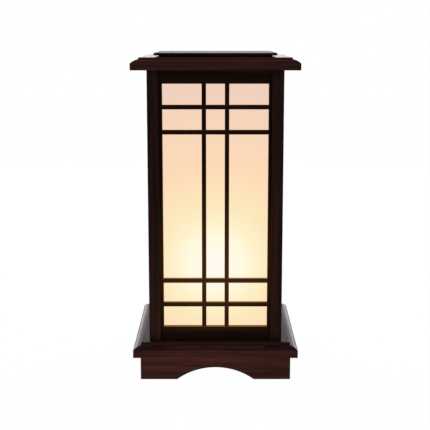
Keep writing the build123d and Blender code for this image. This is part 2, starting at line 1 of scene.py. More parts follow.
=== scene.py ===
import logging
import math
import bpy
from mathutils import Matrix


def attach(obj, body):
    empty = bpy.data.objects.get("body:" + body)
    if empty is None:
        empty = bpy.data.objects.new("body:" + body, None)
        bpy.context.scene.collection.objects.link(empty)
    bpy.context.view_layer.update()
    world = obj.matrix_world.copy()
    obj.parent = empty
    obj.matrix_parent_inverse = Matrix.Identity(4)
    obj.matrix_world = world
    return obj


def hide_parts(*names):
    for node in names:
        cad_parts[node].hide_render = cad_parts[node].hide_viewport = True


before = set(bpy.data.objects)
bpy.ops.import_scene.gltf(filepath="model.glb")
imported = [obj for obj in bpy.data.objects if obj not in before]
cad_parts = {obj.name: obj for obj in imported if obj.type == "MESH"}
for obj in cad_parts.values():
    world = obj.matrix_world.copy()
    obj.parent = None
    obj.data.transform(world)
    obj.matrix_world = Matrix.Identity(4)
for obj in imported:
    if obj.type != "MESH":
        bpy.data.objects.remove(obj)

# Looks of a square wooden lantern that stands on the floor: lacquered wood, frosted panels lit
# from inside, and the turned lampholder and bulb behind them. Lengths are in metres, +Z is up,
# the origin is on the floor under the lamp's centre, and the front faces -Y.

import zlib
from collections.abc import Iterator
from contextlib import contextmanager
from dataclasses import dataclass
from enum import Enum

import bmesh
import bpy
import numpy as np

LOG = logging.getLogger("lantern")
Array = np.ndarray
Colour = tuple[float, float, float]
Place = tuple[float, float, float]
Point = tuple[float, float]
Range = tuple[float, float]
Socket = bpy.types.NodeSocket

MM = 0.001
TURN = 2 * math.pi
MERGE_DISTANCE = 1e-6
BULB_HEIGHT = 235 * MM  # of the globe's centre, which the light on the panels comes from
GRAIN = "grain"  # face corner attribute: two places across the grain and one along it
BOARD = "board"  # face corner attribute: how light a board is among its neighbours, -1 to 1


class Body(Enum):
    """Bodies that move as one."""

    LANTERN = "lantern"
    LID = "lid"
    BULB = "bulb"


class Side(Enum):
    """Sides of the lantern, in the order of quarter turns."""

    FRONT = "front"
    RIGHT = "right"
    BACK = "back"
    LEFT = "left"


class Corner(Enum):
    """Corners of the lantern, in the order of quarter turns."""

    FRONT_LEFT = "front_left"
    FRONT_RIGHT = "front_right"
    BACK_RIGHT = "back_right"
    BACK_LEFT = "back_left"


class Slot(Enum):
    """Finishes that the record names."""

    DARK_WOOD = "dark_wood"
    INNER_WOOD = "inner_wood"
    PANEL = "panel"
    FOOT_PAD = "foot_pad"
    BRASS = "brass"
    ZINC_STEEL = "zinc_steel"
    PORCELAIN = "porcelain"
    BUSH = "bush"
    BULB_GLASS = "bulb_glass"
    BULB_METAL = "bulb_metal"
    BULB_INSULATOR = "bulb_insulator"


class Along(Enum):
    """Axis that the grain of a board follows."""

    X = 0
    Y = 1
    Z = 2


def rgb(red: int, green: int, blue: int) -> Colour:
    """Linear colour from the values of a screen.

    Args:
        red: Red from 0 to 255.
        green: Green from 0 to 255.
        blue: Blue from 0 to 255.

    Returns:
        The same colour for a shader.
    """
    part = np.array([red, green, blue]) / 255
    linear = np.where(part <= 0.04045, part / 12.92, ((part + 0.055) / 1.055) ** 2.4)
    return tuple(float(value) for value in linear)


# ---- Node graphs -----------------------------------------------------------------------
class Graph:
    """Short calls that add nodes to the node tree of a material or of the world."""

    def __init__(self, tree: bpy.types.NodeTree) -> None:
        """Empties the tree.

        Args:
            tree: Node tree that the calls add to.
        """
        self.tree = tree
        tree.nodes.clear()

    def node(self, kind: str, inputs: dict | None = None, **settings: object) -> bpy.types.Node:
        """Adds a node.

        Args:
            kind: Type of the node, without its leading word.
            inputs: Value or socket for each input, by name or number.
            settings: Properties of the node.

        Returns:
            The new node.
        """
        made = self.tree.nodes.new(f"ShaderNode{kind}")
        for name, value in settings.items():
            setattr(made, name, value)
        for name, value in (inputs or {}).items():
            if isinstance(value, Socket):
                self.tree.links.new(value, made.inputs[name])
            else:
                made.inputs[name].default_value = value
        return made

    def math(self, operation: str, *values: float | Socket) -> Socket:
        """Result of a math node on one to three values."""
        return self.node("Math", dict(enumerate(values)), operation=operation).outputs[0]

    def vector(self, operation: str, *values: Place | Socket) -> Socket:
        """Result of a vector math node."""
        return self.node("VectorMath", dict(enumerate(values)), operation=operation).outputs[0]

    def noise(
        self, place: Socket, scale: Place, detail: float = 2.0, roughness: float = 0.5
    ) -> bpy.types.Node:
        """Noise whose features are 1 / scale metres long on each axis."""
        inputs = {"Vector": self.vector("MULTIPLY", place, scale), "Scale": 1.0}
        return self.node("TexNoise", {**inputs, "Detail": detail, "Roughness": roughness})

    def even_noise(self, place: Socket, scale: float, detail: float = 2.0, roughness: float = 0.5) -> Socket:
        """Noise with features of the same length on every axis."""
        return self.noise(place, (scale,) * 3, detail, roughness).outputs[0]

    def spread(
        self, value: Socket, low: float, high: float, to_low: float = 0.0, to_high: float = 1.0
    ) -> Socket:
        """The value moved smoothly from one range to another and held inside it."""
        inputs = {"Value": value, "From Min": low, "From Max": high, "To Min": to_low, "To Max": to_high}
        return self.node("MapRange", inputs, interpolation_type="SMOOTHSTEP").outputs[0]

    def mix(self, share: float | Socket, first: Colour | Socket, second: Colour | Socket) -> Socket:
        """Blend of two colours."""
        values = {0: share, 6: opaque(first), 7: opaque(second)}
        return self.node("Mix", values, data_type="RGBA").outputs[2]

    def ramp(self, value: Socket, stops: list[tuple[float, Colour]]) -> Socket:
        """Colour ramp.

        Args:
            value: Value that is looked up.
            stops: Positions from 0 to 1, each with its colour.

        Returns:
            The colour at the value.
        """
        made = self.node("ValToRGB", {0: value})
        elements = made.color_ramp.elements
        elements.remove(elements[1])
        elements[0].position, elements[0].color = stops[0][0], opaque(stops[0][1])
        for position, colour in stops[1:]:
            elements.new(position).color = opaque(colour)
        return made.outputs[0]

    def bump(self, height: Socket, distance: float, strength: float) -> Socket:
        """Normal tilted by a height that is so many metres deep."""
        return self.node("Bump", {"Height": height, "Distance": distance, "Strength": strength}).outputs[0]

    def object_place(self) -> Socket:
        """Place in the object's own coordinates."""
        return self.node("TexCoord").outputs["Object"]

    def parts(self, vector: Socket) -> tuple[Socket, ...]:
        """The three parts of a vector."""
        return tuple(self.node("SeparateXYZ", {0: vector}).outputs)

    def diagonal(self, across: Socket, rise: Socket) -> Socket:
        """Length of the diagonal, the root of across^2 + rise^2."""
        squares = self.math("MULTIPLY_ADD", rise, rise, self.math("MULTIPLY", across, across))
        return self.math("SQRT", squares)

    def principled(self, inputs: dict) -> Socket:
        """Principled shader with values or sockets for its inputs."""
        return self.node("BsdfPrincipled", inputs).outputs[0]

    def white_light(self, strength: float | Socket) -> Socket:
        """Shader that gives off white light."""
        return self.node("Emission", {"Color": opaque((1.0,) * 3), "Strength": strength}).outputs[0]

    def surface(self, shader: Socket) -> None:
        """Ends a material's tree with a surface shader."""
        self.node("OutputMaterial", {"Surface": shader})


def opaque(colour: Colour | Socket) -> tuple[float, ...] | Socket:
    """Colour with full alpha, or the socket as it is."""
    return colour if isinstance(colour, Socket) else (*colour, 1.0)


# ---- Finishes --------------------------------------------------------------------------
@dataclass(frozen=True)
class Finish:
    """A named material that is made once."""

    name: str

    def material(self) -> bpy.types.Material:
        """Makes the finish's material at its first use.

        Returns:
            The material.
        """
        found = bpy.data.materials.get(self.name)
        if found is None:
            found = bpy.data.materials.new(self.name)
            found.use_nodes = True
            graph = Graph(found.node_tree)
            graph.surface(self.paint(graph))
        return found

    def paint(self, graph: Graph) -> Socket:
        """Adds the finish's nodes and returns its shader."""
        raise NotImplementedError


@dataclass(frozen=True)
class Figure:
    """One noise in the wood, drawn out along the grain."""

    across: float  # features per metre
    along: float
    detail: float = 2.0
    roughness: float = 0.5
    share: float = 0.0  # of the wood's tone

    def noise(self, graph: Graph, place: Socket) -> bpy.types.Node:
        """The noise at places in the log."""
        return graph.noise(place, (self.across, self.across, self.along), self.detail, self.roughness)


DRIFT = Figure(across=11.0, along=4.0)
BANDS = Figure(across=70.0, along=1.6, share=0.5)
STREAKS = Figure(across=260.0, along=4.0, detail=3.0, roughness=0.6, share=0.38)
FIBRES = Figure(across=1400.0, along=24.0, share=0.12)
PORES = Figure(across=2300.0, along=130.0, detail=1.0)
RUBBING = Figure(across=30.0, along=8.0)
ORANGE_PEEL = Figure(across=160.0, along=110.0, detail=1.0)


@dataclass(frozen=True)
class Wood(Finish):
    """Close-grained wood, bare or under rubbed lacquer.

    Bands, streaks and fibres, bent by a slow drift, are added up by their shares, and the sum runs
    through a ramp of four colours. Short dark pores lie on top.
    """

    deep: Colour
    ground: Colour
    warm: Colour
    streak: Colour
    roughness: float
    coat: float
    coat_roughness: float
    pore_darkness: float
    board_contrast: float = 0.03
    bend: float = 14 * MM  # range of the drift's shift across the grain
    tones: tuple[float, ...] = (0.36, 0.48, 0.56, 0.66)  # where the ramp has its four colours
    pore_range: Range = (0.62, 0.7)
    rubbed: float = 0.12  # how much rougher the wood is where it is least rubbed
    fibre_depth: float = 0.06 * MM
    peel_depth: float = 0.02 * MM

    def paint(self, graph: Graph) -> Socket:
        """Adds the wood's nodes.

        Args:
            graph: Calls that add to the material's nodes.

        Returns:
            The shader.
        """
        grain = graph.node("Attribute", attribute_name=GRAIN).outputs["Vector"]
        board = graph.node("Attribute", attribute_name=BOARD).outputs["Fac"]
        drift = graph.vector("SUBTRACT", DRIFT.noise(graph, grain).outputs["Color"], (0.5, 0.5, 0.5))
        bent = graph.vector("ADD", grain, graph.vector("MULTIPLY", drift, (self.bend, self.bend, 0.0)))
        layers = (BANDS, STREAKS, FIBRES, PORES)
        bands, streaks, fibres, pores = (layer.noise(graph, bent).outputs[0] for layer in layers)
        tone = graph.math("MULTIPLY_ADD", bands, BANDS.share, graph.math("MULTIPLY", streaks, STREAKS.share))
        tone = graph.math("MULTIPLY_ADD", fibres, FIBRES.share, tone)
        tone = graph.math("MULTIPLY_ADD", board, self.board_contrast, tone)
        colour = graph.ramp(tone, list(zip(self.tones, (self.deep, self.ground, self.warm, self.streak))))
        pores = graph.spread(pores, *self.pore_range)
        colour = graph.mix(graph.math("MULTIPLY", pores, self.pore_darkness), colour, self.deep)
        relief = graph.math("SUBTRACT", fibres, pores)
        wear = RUBBING.noise(graph, grain).outputs[0]
        peel = ORANGE_PEEL.noise(graph, grain).outputs[0]
        # painted glow: none on plain wood, and the panels' light painted on for wood round them
        lit, strength = self.glow(graph)
        return graph.principled({
            "Base Color": colour,
            "Roughness": graph.math("MULTIPLY_ADD", wear, self.rubbed, self.roughness),
            "Normal": graph.bump(relief, self.fibre_depth, strength=0.5),
            "Specular IOR Level": 0.0,
            "Coat Weight": self.coat,
            "Coat Roughness": self.coat_roughness,
            "Coat IOR": 1.5,
            "Coat Normal": graph.bump(peel, self.peel_depth, strength=0.35),
            "Emission Color": opaque(lit),
            "Emission Strength": strength,
        })

    def glow(self, graph: Graph) -> tuple[Colour, float | Socket]:
        """Colour and strength of the wood's painted glow, which is none."""
        return (1.0, 1.0, 1.0), 0.0


@dataclass(frozen=True)
class PaintedGlowWood(Wood):
    """Wood round a lit panel, with a painted glow in its colour that stands in for the panel's light falling
    on it.

    The painted glow is strongest on faces square to the panel's plane, and most of all next to the panel.
    All of it fades with the distance from the bulb's height on the panel's centre line.
    """

    # colour of the painted glow that stands in for the panel's light
    light: Colour = (1.0, 0.38, 0.1)
    panel_plane: float = 115 * MM
    depth: float = 13 * MM
    # strengths and reaches of the painted glow, on every face near the bulb's height and on edges next to the
    # panel
    face_glow: float = 0.03
    face_reach: Range = (0.02, 0.2)
    edge_glow: float = 0.36
    edge_reach: Range = (0.05, 0.4)
    edge_far: float = 0.3  # share of the edges' glow left past their reach
    edge_front: float = 0.35  # share of it left at the front of the lattice
    edge_facing: Range = (0.2, 0.8)  # how squarely a face looks out, from a full edge to none

    def glow(self, graph: Graph) -> tuple[Colour, float | Socket]:
        """Adds the nodes of the painted glow.

        Args:
            graph: Calls that add to the material's nodes.

        Returns:
            Its colour and its strength.
        """
        coordinates = graph.node("TexCoord").outputs
        place = graph.parts(graph.vector("ABSOLUTE", coordinates["Object"]))
        facing = graph.parts(graph.vector("ABSOLUTE", coordinates["Normal"]))
        outward = graph.math("MAXIMUM", place[0], place[1])
        across = graph.math("MINIMUM", place[0], place[1])
        on_side = graph.math("GREATER_THAN", place[0], place[1])
        straight = graph.node("Mix", {0: on_side, 2: facing[1], 3: facing[0]}).outputs[0]
        away = graph.diagonal(across, graph.math("SUBTRACT", place[2], BULB_HEIGHT))
        near = graph.spread(outward, self.panel_plane, self.panel_plane + self.depth, 1.0, self.edge_front)
        edge = graph.math("MULTIPLY", near, graph.spread(straight, *self.edge_facing, self.edge_glow, 0.0))
        edge = graph.math("MULTIPLY", edge, graph.spread(away, *self.edge_reach, 1.0, self.edge_far))
        face = graph.spread(away, *self.face_reach, self.face_glow, 0.0)
        return self.light, graph.math("ADD", edge, face)


@dataclass(frozen=True)
class FrostedPanel(Finish):
    """Frosted glass with a lamp behind it.

    Its glow depends on the distance from the bulb's height on the panel's centre line. A panel's
    plane is further out than its half-width, so the lesser of |x| and |y| is the place across it.
    """

    reach: float  # distance at which the ramp of the glow ends
    glow: tuple[tuple[float, Colour], ...]  # distances in metres, each with its colour
    strength: float
    base: Colour
    cloud: float = 16.0  # features per metre of the glass's unevenness
    cloudiness: float = 0.02
    frost: float = 900.0  # features per metre of the frosting
    frost_depth: float = 0.05 * MM

    def paint(self, graph: Graph) -> Socket:
        """Adds the panel's nodes.

        Args:
            graph: Calls that add to the material's nodes.

        Returns:
            The shader.
        """
        place = graph.object_place()
        x, y, z = graph.parts(place)
        across = graph.math("MINIMUM", graph.math("ABSOLUTE", x), graph.math("ABSOLUTE", y))
        away = graph.diagonal(across, graph.math("SUBTRACT", z, BULB_HEIGHT))
        distance = graph.math("DIVIDE", away, self.reach)
        uneven = graph.math("SUBTRACT", graph.even_noise(place, self.cloud), 0.5)
        distance = graph.math("MULTIPLY_ADD", uneven, self.cloudiness, distance)
        frost = graph.even_noise(place, self.frost)
        stops = [(at / self.reach, colour) for at, colour in self.glow]
        return graph.principled({
            "Base Color": opaque(self.base),
            "Roughness": graph.spread(frost, 0.3, 0.7, to_low=0.42, to_high=0.6),
            "Normal": graph.bump(frost, self.frost_depth, strength=0.4),
            "Emission Color": graph.ramp(distance, stops),
            "Emission Strength": self.strength,
        })


@dataclass(frozen=True)
class LitGlass(Finish):
    """White frosted glass of a lit bulb, brightest round its globe's middle height."""

    core: Colour
    edge: Colour
    strength: float
    base: Colour = (0.85, 0.84, 0.8)
    reach: float = 55 * MM  # height from the middle to where the edge's colour is strongest
    powder: float = 1200.0  # features per metre
    powder_depth: float = 0.03 * MM

    def paint(self, graph: Graph) -> Socket:
        """Adds the glass's nodes.

        Args:
            graph: Calls that add to the material's nodes.

        Returns:
            The shader.
        """
        place = graph.object_place()
        away = graph.math("ABSOLUTE", graph.math("SUBTRACT", graph.parts(place)[2], BULB_HEIGHT))
        powder = graph.even_noise(place, self.powder)
        share = graph.math("MULTIPLY_ADD", powder, 0.1, graph.spread(away, 0.0, self.reach, to_high=0.9))
        return graph.principled({
            "Base Color": opaque(self.base),
            "Roughness": graph.spread(powder, 0.3, 0.7, to_low=0.3, to_high=0.42),
            "Normal": graph.bump(powder, self.powder_depth, strength=0.3),
            "Emission Color": graph.mix(share, self.core, self.edge),
            "Emission Strength": self.strength,
        })


@dataclass(frozen=True)
class TurnedMetal(Finish):
    """Metal turned on a lathe: fine rings, and a mottled film that dulls and tints it."""

    bright: Colour
    dulled: Colour
    roughness: float
    mottle: float = 90.0  # features per metre of the film
    film_range: Range = (0.38, 0.66)
    film_roughness: float = 0.16
    rings: Place = (60.0, 60.0, 3600.0)  # features per metre
    ring_roughness: float = 0.06
    ring_depth: float = 0.01 * MM

    def paint(self, graph: Graph) -> Socket:
        """Adds the metal's nodes.

        Args:
            graph: Calls that add to the material's nodes.

        Returns:
            The shader.
        """
        place = graph.object_place()
        film = graph.spread(graph.even_noise(place, self.mottle, 4.0, 0.6), *self.film_range)
        rings = graph.noise(place, self.rings, detail=1.0).outputs[0]
        rough = graph.math("MULTIPLY_ADD", film, self.film_roughness, self.roughness)
        return graph.principled({
            "Base Color": graph.mix(film, self.bright, self.dulled),
            "Metallic": 1.0,
            "Roughness": graph.math("MULTIPLY_ADD", rings, self.ring_roughness, rough),
            "Normal": graph.bump(rings, self.ring_depth, strength=0.5),
        })


@dataclass(frozen=True)
class Moulded(Finish):
    """Glazed, moulded or pressed stuff: a slight mottle in its colour and a fine skin.

    The mottle is mostly the skin's noise and partly one with features eight times as long.
    """

    first: Colour
    second: Colour
    roughness: float
    skin: float  # features of the skin per metre
    skin_depth: float
    coat: float = 0.0
    sheen: float = 0.0
    skin_share: float = 0.6
    mottle_range: Range = (0.38, 0.62)
    skin_roughness: float = 0.1

    def paint(self, graph: Graph) -> Socket:
        """Adds the stuff's nodes.

        Args:
            graph: Calls that add to the material's nodes.

        Returns:
            The shader.
        """
        place = graph.object_place()
        cloud = graph.even_noise(place, self.skin / 8, 3.0)
        skin = graph.even_noise(place, self.skin, 3.0, 0.6)
        slow = graph.math("MULTIPLY", cloud, 1 - self.skin_share)
        mottle = graph.math("MULTIPLY_ADD", skin, self.skin_share, slow)
        return graph.principled({
            "Base Color": graph.mix(graph.spread(mottle, *self.mottle_range), self.first, self.second),
            "Roughness": graph.math("MULTIPLY_ADD", skin, self.skin_roughness, self.roughness),
            "Normal": graph.bump(skin, self.skin_depth, strength=0.6),
            "Coat Weight": self.coat,
            "Coat Roughness": 0.05,
            "Sheen Weight": self.sheen,
            "Sheen Roughness": 0.4,
        })


@dataclass(frozen=True)
class PaleFloor(Finish):
    """Matt floor that is white to the camera but for the lamp's soft shadow.

    Scattered light also meets a glow near the lamp, and mirrored light meets it dark.
    """

    white: float = 0.985
    shade: float = 0.05
    bounce: float = 0.7
    mirrored: float = 0.01
    glow: float = 1.0
    glow_range: Range = (0.3, 0.8)  # distances from the lamp's axis over which the glow fades

    def paint(self, graph: Graph) -> Socket:
        """Adds the floor's nodes.

        Args:
            graph: Calls that add to the material's nodes.

        Returns:
            The shader.
        """
        path = graph.node("LightPath").outputs
        shade = graph.node("BsdfDiffuse", {"Color": opaque((self.shade,) * 3)}).outputs[0]
        pale = graph.node("AddShader", {0: shade, 1: graph.white_light(self.white)}).outputs[0]
        bounce = graph.mix(path["Is Glossy Ray"], (self.bounce,) * 3, (self.mirrored,) * 3)
        plain = graph.node("BsdfDiffuse", {"Color": bounce}).outputs[0]
        away = graph.node("VectorMath", {0: graph.object_place()}, operation="LENGTH").outputs["Value"]
        near = graph.spread(away, *self.glow_range, self.glow, 0.0)
        lit = graph.math("MULTIPLY", near, path["Is Diffuse Ray"])
        plain = graph.node("AddShader", {0: plain, 1: graph.white_light(lit)}).outputs[0]
        return graph.node("MixShader", {0: path["Is Camera Ray"], 1: plain, 2: pale}).outputs[0]


# lattice wood with the panels' light painted on as a glow
LATTICE_WOOD = PaintedGlowWood(
    "dark_oiled_wood_painted_glow",
    deep=rgb(22, 11, 6),
    ground=rgb(33, 17, 10),
    warm=rgb(40, 20, 12),
    streak=rgb(58, 29, 17),
    roughness=0.5,
    coat=0.15,
    coat_roughness=0.25,
    pore_darkness=0.4,
)
BODY_WOOD = Wood(
    "dark_lacquered_wood",
    deep=rgb(27, 16, 14),
    ground=rgb(39, 23, 19),
    warm=rgb(47, 27, 22),
    streak=rgb(65, 36, 28),
    roughness=0.45,
    coat=0.4,
    coat_roughness=0.18,
    pore_darkness=0.4,
)
MOULDING_WOOD = Wood(
    "red_brown_lacquered_wood",
    deep=rgb(35, 19, 16),
    ground=rgb(54, 29, 25),
    warm=rgb(69, 35, 30),
    streak=rgb(93, 45, 36),
    roughness=0.4,
    coat=0.3,
    coat_roughness=0.21,
    pore_darkness=0.4,
)
# darker wood under a thin coat: the top plate's own tone, and painted shade on the top rails and spacer
# strips
WAXED_WOOD_AND_PAINTED_SHADE = Wood(
    "waxed_red_brown_wood_and_painted_shade",
    deep=rgb(20, 10, 8),
    ground=rgb(30, 16, 13),
    warm=rgb(38, 19, 15),
    streak=rgb(54, 26, 20),
    roughness=0.45,
    coat=0.13,
    coat_roughness=0.2,
    pore_darkness=0.4,
)
BARE_WOOD = Wood(
    "bare_inner_wood",
    deep=rgb(128, 92, 56),
    ground=rgb(168, 128, 84),
    warm=rgb(186, 147, 100),
    streak=rgb(206, 170, 122),
    roughness=0.55,
    coat=0.0,
    coat_roughness=0.3,
    pore_darkness=0.35,
)
PANEL_GLASS = FrostedPanel(
    "lit_frosted_glass",
    reach=0.4,
    glow=(
        (0.0, rgb(254, 250, 241)),
        (0.055, rgb(254, 249, 224)),
        (0.085, rgb(253, 241, 200)),
        (0.12, rgb(253, 232, 188)),
        (0.2, rgb(253, 218, 180)),
        (0.28, rgb(248, 214, 186)),
        (0.36, rgb(240, 208, 188)),
    ),
    strength=0.975,
    base=(0.05, 0.045, 0.04),
)
BULB_GLASS = LitGlass("lit_bulb_glass", core=rgb(255, 246, 224), edge=rgb(255, 214, 160), strength=4.0)
BRASS = TurnedMetal("satin_brass", bright=(0.78, 0.56, 0.25), dulled=(0.5, 0.33, 0.14), roughness=0.24)
ZINC_STEEL = TurnedMetal(
    "zinc_plated_steel", bright=(0.62, 0.62, 0.6), dulled=(0.42, 0.42, 0.4), roughness=0.3
)
CAP_METAL = TurnedMetal(
    "bulb_cap_metal", bright=(0.82, 0.82, 0.82), dulled=(0.62, 0.62, 0.63), roughness=0.28
)
PORCELAIN = Moulded(
    "glazed_porcelain",
    first=(0.86, 0.85, 0.8),
    second=(0.76, 0.74, 0.68),
    roughness=0.32,
    skin=500.0,
    skin_depth=0.01 * MM,
    coat=1.0,
)
BLACK_NYLON = Moulded(
    "black_nylon",
    first=(0.02, 0.02, 0.021),
    second=(0.035, 0.034, 0.033),
    roughness=0.42,
    skin=1500.0,
    skin_depth=0.02 * MM,
)
BLACK_GLASS = Moulded(
    "bulb_black_insulator",
    first=(0.012, 0.011, 0.014),
    second=(0.03, 0.026, 0.03),
    roughness=0.2,
    skin=700.0,
    skin_depth=0.005 * MM,
    coat=0.6,
)
FELT = Moulded(
    "brown_felt",
    first=(0.075, 0.05, 0.035),
    second=(0.15, 0.11, 0.08),
    roughness=0.85,
    skin=1800.0,
    skin_depth=0.15 * MM,
    sheen=0.6,
)


# ---- Meshes ----------------------------------------------------------------------------
EASE_SEGMENTS = 2
SHARP_ANGLE = math.radians(42)  # an edge that turns more than this is eased
FLAT_ANGLE = math.radians(0.5)  # faces that turn less than this are one face
FLAT_WEIGHT = 60  # how much a large face's direction counts in the shading


def new_object(name: str, data: bpy.types.ID) -> bpy.types.Object:
    """Adds an object to the scene.

    Args:
        name: Name of the object.
        data: Its mesh, light or camera.

    Returns:
        The object.
    """
    made = bpy.data.objects.new(name, data)
    bpy.context.scene.collection.objects.link(made)
    return made


def new_mesh(name: str, points: Array, faces: Array) -> bpy.types.Mesh:
    """Makes a mesh.

    Args:
        name: Name of the mesh.
        points: Its points, as n x 3.
        faces: Point numbers of its faces, all with as many corners.

    Returns:
        The mesh.
    """
    mesh = bpy.data.meshes.new(name)
    mesh.from_pydata(points.tolist(), [], faces.tolist())
    return mesh


@contextmanager
def edited(mesh: bpy.types.Mesh) -> Iterator[bmesh.types.BMesh]:
    """Opens a mesh for the edits inside a with statement and writes them back.

    Args:
        mesh: Mesh to edit.

    Yields:
        Its editable copy.
    """
    work = bmesh.new()
    work.from_mesh(mesh)
    yield work
    work.to_mesh(mesh)
    work.free()


def read(items: bpy.types.bpy_prop_collection, name: str, width: int = 1, kind: type = float) -> Array:
    """Reads one property of every item of a mesh.

    Args:
        items: The mesh's points, edges, faces, face corners or triangles.
        name: Name of the property.
        width: How many values an item has.
        kind: Type of the values.

    Returns:
        The values as n, or as n x width.
    """
    values = np.empty(len(items) * width, kind)
    items.foreach_get(name, values)
    return values.reshape(-1, width) if width > 1 else values


def settled(name: str, mesh: bpy.types.Mesh, bevel: float = 0.0) -> bpy.types.Mesh:
    """Eases a mesh's sharp edges and keeps its flat faces flat to the light.

    Args:
        name: Name of the new mesh.
        mesh: Closed mesh that the new one replaces.
        bevel: Width of the eased edges, or 0 for none.

    Returns:
        The finished mesh.
    """
    mesh.polygons.foreach_set("use_smooth", np.ones(len(mesh.polygons), bool))
    holder = new_object(name, mesh)
    if bevel:
        ease = holder.modifiers.new("ease", "BEVEL")
        ease.width, ease.segments, ease.limit_method = bevel, EASE_SEGMENTS, "ANGLE"
        ease.angle_limit = SHARP_ANGLE
    holder.modifiers.new("light", "WEIGHTED_NORMAL").weight = FLAT_WEIGHT
    seen = holder.evaluated_get(bpy.context.evaluated_depsgraph_get())
    finished = bpy.data.meshes.new_from_object(seen)
    finished.name = name
    bpy.data.objects.remove(holder)
    bpy.data.meshes.remove(mesh)
    return finished


def grid_faces(rows: int, columns: int) -> Array:
    """Faces of a grid of points, each (i, j), (i+1, j), (i+1, j+1), (i, j+1).

    Args:
        rows: Rows of points.
        columns: Columns of points.

    Returns:
        Point numbers of the faces, as n x 4.
    """
    index = np.arange(rows * columns).reshape(rows, columns)
    corners = (index[:-1, :-1], index[1:, :-1], index[1:, 1:], index[:-1, 1:])
    return np.stack(corners, axis=-1).reshape(-1, 4)


def closed_mesh(name: str, *grids: Array) -> bpy.types.Mesh:
    """Closed mesh on one or more grids of points, with its seams and poles merged.

    Args:
        name: Name of the mesh.
        grids: Points as rows x columns x 3. Every grid already repeats its first row or column
            at its end where it closes on itself.

    Returns:
        The mesh, whose faces point outwards.
    """
    starts = np.cumsum([0] + [grid[..., 0].size for grid in grids])
    points = np.concatenate([grid.reshape(-1, 3) for grid in grids])
    faces = np.concatenate([start + grid_faces(*grid.shape[:2]) for start, grid in zip(starts, grids)])
    mesh = new_mesh(name, points, faces)
    with edited(mesh) as work:
        bmesh.ops.remove_doubles(work, verts=work.verts, dist=MERGE_DISTANCE)
        bmesh.ops.recalc_face_normals(work, faces=work.faces)
    return mesh


def looped(points: Array) -> Array:
    """Points with the first one repeated at the end."""
    return np.concatenate([points, points[:1]])


def softened(outline: Array, radius: float, closed: bool = True) -> Array:
    """Outline whose corners are eased.

    Each corner C gives way to (1-t)^2 A + 2t(1-t) C + t^2 B for t from 0 to 1, where A and B lie a
    radius before and after it, or nearly half an edge where the edge is short.

    Args:
        outline: Points as n x 2.
        radius: How far from a corner the easing starts.
        closed: Whether the last point joins the first. The ends of an open outline stay sharp.

    Returns:
        The eased points, with the first repeated at the end of a closed outline.
    """

    def toward(neighbour: Array) -> Array:
        """Points near the corners, where the easing starts or ends.

        Args:
            neighbour: The corner before or after each corner.

        Returns:
            Points on the way from each corner to that neighbour.
        """
        edge = neighbour - outline
        length = np.linalg.norm(edge, axis=1, keepdims=True)
        return outline + edge / length * np.minimum(radius, 0.45 * length)

    before, after = (toward(np.roll(outline, shift, axis=0)) for shift in (1, -1))
    t = np.linspace(0, 1, 4)[None, :, None]
    curve = (1 - t) ** 2 * before[:, None] + 2 * t * (1 - t) * outline[:, None] + t**2 * after[:, None]
    if closed:
        return looped(curve.reshape(-1, 2))
    return np.concatenate([outline[:1], curve[1:-1].reshape(-1, 2), outline[-1:]])


def arc_points(start: Point, end: Point, radius: float, count: int) -> Array:
    """Points on an arc that bulges to the right of the way from start to end.

    The centre lies left of the middle of the way by the root of radius^2 - half the way^2. A
    point is the centre plus the radius at an angle of up to asin(half the way / radius).

    Args:
        start: First point.
        end: Last point.
        radius: Radius of the arc.
        count: How many points.

    Returns:
        Points as count x 2.
    """
    start, end = np.asarray(start, float), np.asarray(end, float)
    half = np.linalg.norm(end - start) / 2
    along = (end - start) / (2 * half)
    right = np.array([along[1], -along[0]])
    centre = (start + end) / 2 - right * math.sqrt(radius**2 - half**2)
    reach = math.asin(half / radius)
    angle = np.linspace(-reach, reach, count)[:, None]
    return centre + radius * (np.cos(angle) * right + np.sin(angle) * along)


def rounded_rings(half: Array, corner: Array, height: Array, steps: int = 5) -> Array:
    """Level rings, each a square with round corners.

    A ring's point is the corner's centre, (half - corner) along both axes, plus the corner's
    radius at an angle that runs through a quarter turn at each of the four corners.

    Args:
        half: Half-width of each ring.
        corner: Corner radius of each ring.
        height: Height of each ring.
        steps: Spaces along each corner.

    Returns:
        Points as rings x columns x 3, with the first column repeated at the end.
    """
    quarter = np.repeat(np.arange(4), steps + 1)
    angle = np.tile(np.linspace(0, TURN / 4, steps + 1), 4) + quarter * TURN / 4
    diagonal = quarter * TURN / 4 + TURN / 8
    toward = np.stack([np.cos(diagonal), np.sin(diagonal)]) * math.sqrt(2)
    around = np.stack([np.cos(angle), np.sin(angle)])
    plan = (half - corner)[:, None, None] * toward + corner[:, None, None] * around
    level = np.broadcast_to(height[:, None], plan[:, 0].shape)
    points = np.stack([plan[:, 0], plan[:, 1], level], axis=-1)
    return np.concatenate([points, points[:, :1]], axis=1)


@dataclass(frozen=True)
class Thread:
    """Rounded screw thread.

    Takes half the depth times (1 - cos of the turn) off a radius, where the turn is the height
    over the pitch less the angle, and fades out over one pitch at both ends.
    """

    pitch: float
    depth: float
    bottom: float
    top: float

    def cut(self, height: Array, angle: Array) -> Array:
        """Depth of the thread.

        Args:
            height: Heights of the points.
            angle: Angles of the points round the axis.

        Returns:
            How much it takes off the radius at each point.
        """
        run = np.minimum(height - self.bottom, self.top - height) / self.pitch
        fade = np.clip(run, 0, 1)
        return self.depth / 2 * (1 - np.cos(TURN * height / self.pitch - angle)) * fade


